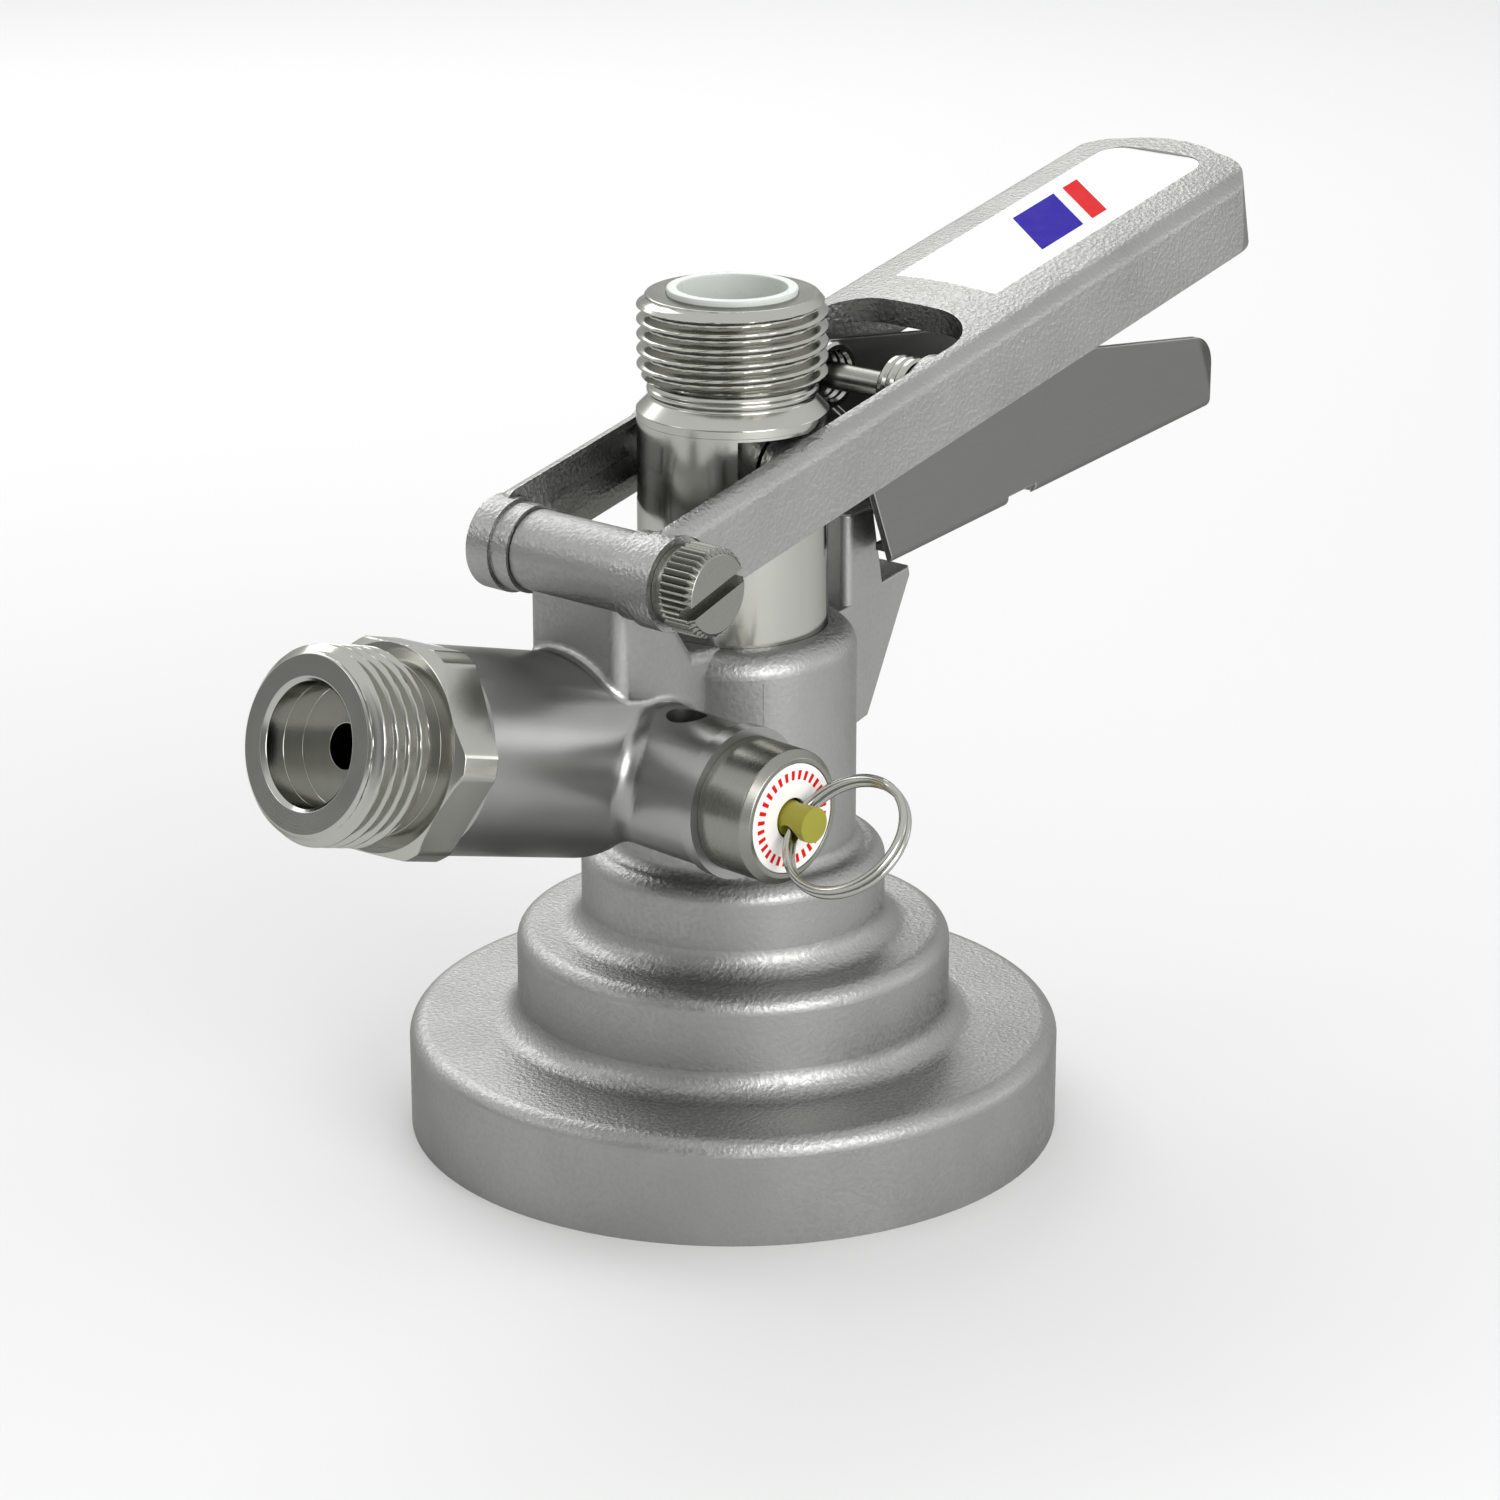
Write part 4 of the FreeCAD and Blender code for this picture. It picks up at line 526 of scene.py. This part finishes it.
class COUPLER_OT_inlet(bpy.types.Operator):
    """Make the threaded hexagon nipple of the gas inlet"""
    bl_idname = "coupler.inlet"
    bl_label = "Gas inlet"

    def execute(self, context):
        sizes = context.scene.coupler_thread
        crest, flats, corner, length, end = sizes.crest / MM, 24.1, 13.3, 6.06, 17.33
        spigot, neck, bore, way = 9.0, 10.0, 7.1, 2.6
        thread_low, run_in = 8.2, 0.8
        face_start = math.radians(29.7)
        drop = (corner - flats / 2) * math.tan(math.radians(30))
        outline = [
            (way, -9.6), (8.5, -9.6), (spigot, -9.1), (spigot, 0), (flats / 2 - 0.2, 0), (corner, 0.2),
            (corner, length - drop), (flats / 2, length), (neck, length), (neck, 8.33), (crest, 9.13),
            (crest, end - 1.3), (crest - 1.3, end), (bore + 0.5, end), (bore, end - 0.5), (bore, end - 3.0),
            (bore - 0.06, end - 3.06), (bore - 0.06, end - 6), (way, end - 6)]
        profile = divided(eased(outline, BEVEL), THREAD_ROW, length - drop, end)

        def shape(angles, radii, height):
            if height > thread_low and radii[0] > spigot:
                fade = min(max((height - thread_low) / run_in, 0), 1)
                cut = crest - (crest - thread_radius(angles, height, sizes)) * fade
                return np.minimum(radii, cut)
            if -0.01 < height < length + 0.01 and radii[0] > 11.5:
                turn = (angles - face_start) % (TURN / 6) - TURN / 12
                return np.minimum(radii, flats / 2 / np.cos(turn))
            return radii

        # The hexagon was turned down at its corners, so a flat ends where it meets the round land.
        land = math.acos(flats / 2 / corner)
        middles = [face_start + TURN / 12 + TURN / 6 * face for face in range(6)]
        borders = [middle + side for middle in middles for side in (-land, land)]
        nipple = turned("gas_nipple_turned", profile, NIPPLE_FRAME, sizes.segments, shape, face_start,
                        borders)
        dress(nipple, "coupler_body", "bright", ["gas_nipple"])
        return {"FINISHED"}


class COUPLER_OT_relief(bpy.types.Operator):
    """Make the relief valve's cap, disc, plunger and split pull ring"""
    bl_idname = "coupler.relief"
    bl_label = "Relief valve"

    def execute(self, context):
        sizes = context.scene.coupler_thread
        face, disc_face, disc_back = RELIEF_FACE, RELIEF_FACE - 0.1, 30.1
        hole, chamber, screwed, cap_radius = 2.4, 4.78, 5.98, 8.0
        cap = turned("relief_cap_turned", eased([
            (hole, 28.5), (chamber, 28.5), (chamber, 19.4), (screwed, 19.4), (screwed, 23.4),
            (cap_radius, 23.4), (cap_radius, face - 0.9), (cap_radius - 0.9, face), (6.55, face),
            (6.52, disc_back), (hole, disc_back)], BEVEL), RELIEF_FRAME, sizes.segments)
        dress(cap, "coupler_body", "turned", ["relief_cap"])
        disc = turned("relief_disc_moulded", eased([
            (hole, disc_back), (6.5, disc_back), (6.5, disc_face), (hole, disc_face)], 0.12),
            RELIEF_FRAME, sizes.segments)
        dress(disc, "coupler_body", "disc", ["relief_disc"])
        self.ticks(disc_face)
        self.pull_ring()
        dress_node("relief_plunger", "plunger")
        return {"FINISHED"}

    def ticks(self, height):
        """A plain ring of short printed strokes."""
        points, faces = [], []
        count, inner, outer, share = 30, 4.6, 5.7, 0.44
        half = TURN / count * share / 2
        for stroke in range(count):
            middle = TURN * stroke / count
            base = len(points)
            for level in (height, height + INK):
                for radius, angle in ((inner, -half), (outer, -half), (outer, half), (inner, half)):
                    turn = middle + angle
                    points.append((radius * math.cos(turn), radius * math.sin(turn), level))
            faces += [tuple(base + corner for corner in face) for face in SLAB]
        strokes = piece_from("relief_disc_strokes", points, faces, RELIEF_FRAME)
        dress(strokes, "coupler_body", "warm")

    def pull_ring(self):
        """One wire wound twice, with the step where it crosses to its second turn."""
        radius, wire, sides, steps = 7.45, 0.5, 14, 300
        away = RELIEF_AXIS
        normal = away.cross(RING_ACROSS).normalized()
        middle = RING_POINT + away * radius
        points, faces = [], []
        begin, sweep, step_width = math.radians(64), 2 * TURN - math.radians(7), math.radians(30)
        for index in range(steps + 1):
            along = sweep * index / steps
            angle = begin + along
            change = min(max((along - TURN + step_width / 2) / step_width, 0), 1)
            offset = (change * change * (3 - 2 * change) * 2 - 1) * wire
            out = away * math.cos(angle) + RING_ACROSS * math.sin(angle)
            for side in range(sides):
                turn = TURN * side / sides
                points.append(middle + out * (radius + wire * math.cos(turn))
                              + normal * (offset + wire * math.sin(turn)))
        for index in range(steps):
            for side in range(sides):
                ahead = (side + 1) % sides
                faces.append((index * sides + side, index * sides + ahead, (index + 1) * sides + ahead,
                              (index + 1) * sides + side))
        faces.append(tuple(range(sides)))
        faces.append(tuple(steps * sides + side for side in reversed(range(sides))))
        ring = piece_from("pull_ring_wound", points, faces)
        dress(ring, "pull_ring", "wire", ["pull_ring"], angle=50)


class COUPLER_OT_screw(bpy.types.Operator):
    """Make the pivot screw with its knurled, slotted head"""
    bl_idname = "coupler.screw"
    bl_label = "Pivot screw"

    def execute(self, context):
        sizes = context.scene.coupler_screw
        axis, shank, shank_end, radius, head_low, head_high = 0.001, 3.1, -12.4, 5.35, 14.02, 20.02
        knurl_low, lead, chamfer = head_low + 1.2, 0.35, 0.75
        root = radius - sizes.rib_depth / MM
        outline = [
            (axis, shank_end), (shank - 0.5, shank_end), (shank, shank_end + 0.5), (shank, head_low),
            (root, head_low), (root, knurl_low), (radius, knurl_low + lead), (radius, head_high - chamfer),
            (radius - chamfer, head_high), (axis, head_high)]
        profile = eased(outline, 0.08)
        steep, groove = 1.35, 0.1

        def shape(angles, radii, height):
            if height >= knurl_low and radii[0] > root:
                tooth = np.abs(((angles * sizes.ribs / TURN) % 1.0) * 2 - 1)
                return root + (radii - root) * np.clip(tooth * steep - groove, 0, 1)
            return radii

        points_in_rib, lean, slot_deep = 8, math.radians(17), 1.6
        screw = turned("pivot_screw_knurled", profile, SCREW_FRAME, sizes.ribs * points_in_rib, shape)
        carve(screw, box_cutter((radius * 3, sizes.slot / MM, slot_deep * 2),
                                SCREW_FRAME @ Matrix.Translation((0, 0, head_high))
                                @ Matrix.Rotation(lean, 4, "Z")))
        dress(screw, "lever", "turned", ["pivot_screw"], angle=40)
        return {"FINISHED"}


def dress_node(node, finish):
    """Gives a solid its finish, and shades it smooth but for its sharp edges, without touching its mesh."""
    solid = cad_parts[node]
    solid.data.materials.clear()
    solid.data.materials.append(finish_of(finish))
    shade = solid.modifiers.new("shade", "NODES")
    shade.node_group = shading_group()


def shading_group():
    """Geometry nodes that shade a mesh smooth and keep edges over SHARP degrees sharp."""
    made = bpy.data.node_groups.get("coupler_shading")
    if made:
        return made
    made = bpy.data.node_groups.new("coupler_shading", "GeometryNodeTree")
    made.interface.new_socket("Geometry", in_out="INPUT", socket_type="NodeSocketGeometry")
    made.interface.new_socket("Geometry", in_out="OUTPUT", socket_type="NodeSocketGeometry")
    enter = made.nodes.new("NodeGroupInput")
    leave = made.nodes.new("NodeGroupOutput")
    faces = add_node(made, "GeometryNodeSetShadeSmooth", {"domain": "FACE"}, i0=enter.outputs[0])
    bend = add_node(made, "GeometryNodeInputMeshEdgeAngle")
    sharp = add_node(made, "FunctionNodeCompare", {"operation": "GREATER_THAN"}, i0=bend.outputs[0],
                     i1=math.radians(SHARP))
    edges = add_node(made, "GeometryNodeSetShadeSmooth", {"domain": "EDGE"}, i0=faces.outputs[0],
                     i1=sharp.outputs[0], i2=False)
    made.links.new(edges.outputs[0], leave.inputs[0])
    return made


class COUPLER_OT_casting(bpy.types.Operator):
    """Finish the cast body and its seals"""
    bl_idname = "coupler.casting"
    bl_label = "Casting"

    def execute(self, context):
        dress_node("body_casting", "casting")
        self.seam()
        for node in ("upper_stem_seal", "lower_stem_seal", "base_gasket", "nipple_washer",
                     "gas_check_valve", "relief_seal", "probe_tip_seal"):
            dress_node(node, "rubber")
        for node in ("relief_spring", "trigger_spring"):
            dress_node(node, "wire")
        for node in ("check_ball", "ball_retainer", "trigger_pin"):
            dress_node(node, "turned")
        return {"FINISHED"}

    def seam(self):
        """The fine parting line that the mould leaves on the column, beside the relief valve's boss."""
        radius, turn, low, high = 15.15, math.radians(234), 55.8, 61.2
        half, proud, sunk = 0.07, 0.05, 0.1
        out = Vector((math.cos(turn), math.sin(turn), 0))
        side = Vector((-out.y, out.x, 0))
        points = [out * (radius + rise) + side * across + Vector((0, 0, height))
                  for height in (low, high) for rise, across in ((-sunk, -half), (proud, 0), (-sunk, half))]
        faces = [(0, 1, 4, 3), (1, 2, 5, 4), (2, 0, 3, 5), (0, 2, 1), (3, 4, 5)]
        line = piece_from("casting_seam", points, faces)
        dress(line, "coupler_body", "casting")


class COUPLER_OT_lever(bpy.types.Operator):
    """Finish the cast lever, its panel and the trigger"""
    bl_idname = "coupler.lever"
    bl_label = "Lever and trigger"

    def execute(self, context):
        dress_node("lever_casting", "grip")
        dress_node("lever_panel", "panel")
        self.trigger()
        self.stripe("panel_broad_stripe", "cool", 88.0, 97.0)
        self.stripe("panel_thin_stripe", "warm", 99.0, 102.2)
        return {"FINISHED"}

    def trigger(self):
        """The trigger with the notch that its web's window leaves in the lower edge of both its sides."""
        length, across, depth = 5.8, 22.0, 3.0
        middle, level, slope = 45.8, 71.35, 5.2
        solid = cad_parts["trigger"]
        notched = bpy.data.objects.new("trigger_notched", solid.data.copy())
        bpy.context.scene.collection.objects.link(notched)
        notched.matrix_world = solid.matrix_world.copy()
        carve(notched, box_cutter((length, across, depth), Matrix.Translation((middle, 0, level))
                                  @ Matrix.Rotation(math.radians(-slope), 4, "Y")))
        dress(notched, "trigger", "sheet", ["trigger"], angle=SHARP)

    def stripe(self, name, finish, low, high):
        """A flat slanted stripe printed on the panel, between two places along the grip."""
        level, half, slant = 6.7, 5.0, 3.6
        outline = [(low - slant, -half), (high - slant, -half), (high + slant, half), (low + slant, half)]
        points = [(x, y, level + rise) for rise in (0.0, INK) for x, y in outline]
        dress(piece_from(name, points, SLAB, LEVER_FRAME), "lever", finish)


class COUPLER_OT_stage(bpy.types.Operator):
    """Set the floor, the lights and the camera"""
    bl_idname = "coupler.stage"
    bl_label = "Stage"

    def execute(self, context):
        scene = context.scene
        size = 4.0
        floor = bpy.data.meshes.new("floor")
        floor.from_pydata([(-size, -size, 0), (size, -size, 0), (size, size, 0), (-size, size, 0)], [],
                          [(0, 1, 2, 3)])
        ground = bpy.data.objects.new("floor", floor)
        scene.collection.objects.link(ground)
        # Matt studio paper: an even pale ground under even light.
        ground.data.materials.append(new_material("matt_studio_paper", linear("#DADADA"), 0.0, 0.9)[0])

        scene.view_settings.view_transform = "Standard"
        world = bpy.data.worlds.new("studio")
        scene.world = world
        world.use_nodes = True
        tree = world.node_tree
        backdrop = tree.nodes["Background"]
        backdrop.inputs[0].default_value = linear("#FAFBFA")
        # The room is evenly lit but for two dark ends, where no lamp stands: where each lies, the cosines
        # at its border and its middle, and its light there.
        side = add_node(tree, "ShaderNodeTexCoord").outputs["Generated"]
        room = 1.0
        for middle, border, core, bright, dark in ((heading(205, 18), 0.7, 0.97, 1.05, 0.3),
                                                   (heading(134, 0), 0.86, 0.96, 1.0, 0.3)):
            near = add_node(tree, "ShaderNodeVectorMath", {"operation": "DOT_PRODUCT"}, i0=side, i1=middle)
            shade = add_node(tree, "ShaderNodeMapRange", Value=near.outputs["Value"], From_Min=border,
                             From_Max=core, To_Min=bright, To_Max=dark).outputs[0]
            room = add_node(tree, "ShaderNodeMath", {"operation": "MULTIPLY"}, i0=room, i1=shade).outputs[0]
        tree.links.new(room, backdrop.inputs[1])

        # Each soft lamp: its turn and rise seen from the target in degrees, its distance, width and height
        # in metres, and its radiance.
        target = Vector((0, 0, 0.05))
        for name, turn, rise, reach, width, height, glow in (
                ("back", 62.0, 38.0, 0.9, 0.85, 0.44, 2.8),
                ("front", 252.0, 19.0, 0.55, 0.36, 0.34, 4.5),
                ("left", 146.0, 30.0, 0.8, 0.2, 0.2, 2.6),
                ("right", 317.0, 8.0, 0.75, 0.2, 0.2, 1.4)):
            light = bpy.data.lights.new(name, "AREA")
            light.shape = "RECTANGLE"
            # An area light of power P and area A shows a radiance of P / (pi A).
            light.size, light.size_y, light.energy = width, height, glow * math.pi * width * height
            lamp = bpy.data.objects.new(name, light)
            scene.collection.objects.link(lamp)
            lamp.location = target + heading(turn, rise) * reach
            lamp.rotation_euler = (target - lamp.location).to_track_quat("-Z", "Y").to_euler()
            lamp.visible_camera = False

        lens = bpy.data.cameras.new("camera")
        lens.sensor_width, lens.lens = 36.0, 107.45
        camera = bpy.data.objects.new("camera", lens)
        scene.collection.objects.link(camera)
        camera.location = CAMERA_PLACE
        camera.rotation_euler = CAMERA_LOOK.to_track_quat("-Z", "Y").to_euler()
        scene.camera = camera
        return {"FINISHED"}


class COUPLER_PT_panel(bpy.types.Panel):
    """The operators, in the order that main calls them"""
    bl_label = "Keg coupler"
    bl_idname = "COUPLER_PT_panel"
    bl_space_type = "VIEW_3D"
    bl_region_type = "UI"
    bl_category = "Coupler"

    def draw(self, context):
        for operator in OPERATORS:
            self.layout.operator(operator.bl_idname)
        for setting, kind in SETTINGS:
            for name in kind.__annotations__:
                self.layout.prop(getattr(context.scene, setting), name)


OPERATORS = (COUPLER_OT_casting, COUPLER_OT_inlet, COUPLER_OT_relief, COUPLER_OT_probe, COUPLER_OT_screw,
             COUPLER_OT_lever, COUPLER_OT_stage)
SETTINGS = (("coupler_thread", ThreadSizes), ("coupler_screw", ScrewSizes),
            ("coupler_colours", FinishColours))


def register():
    for name, group in SETTINGS:
        bpy.utils.register_class(group)
        setattr(bpy.types.Scene, name, PointerProperty(type=group))
    for kind in OPERATORS + (COUPLER_PT_panel,):
        bpy.utils.register_class(kind)


def unregister():
    for kind in reversed(OPERATORS + (COUPLER_PT_panel,)):
        bpy.utils.unregister_class(kind)
    for name, group in reversed(SETTINGS):
        delattr(bpy.types.Scene, name)
        bpy.utils.unregister_class(group)


def main():
    register()
    for operator in OPERATORS:
        group, name = operator.bl_idname.split(".")
        getattr(getattr(bpy.ops, group), name)()
    bpy.context.view_layer.update()


if __name__ == "__main__":
    main()
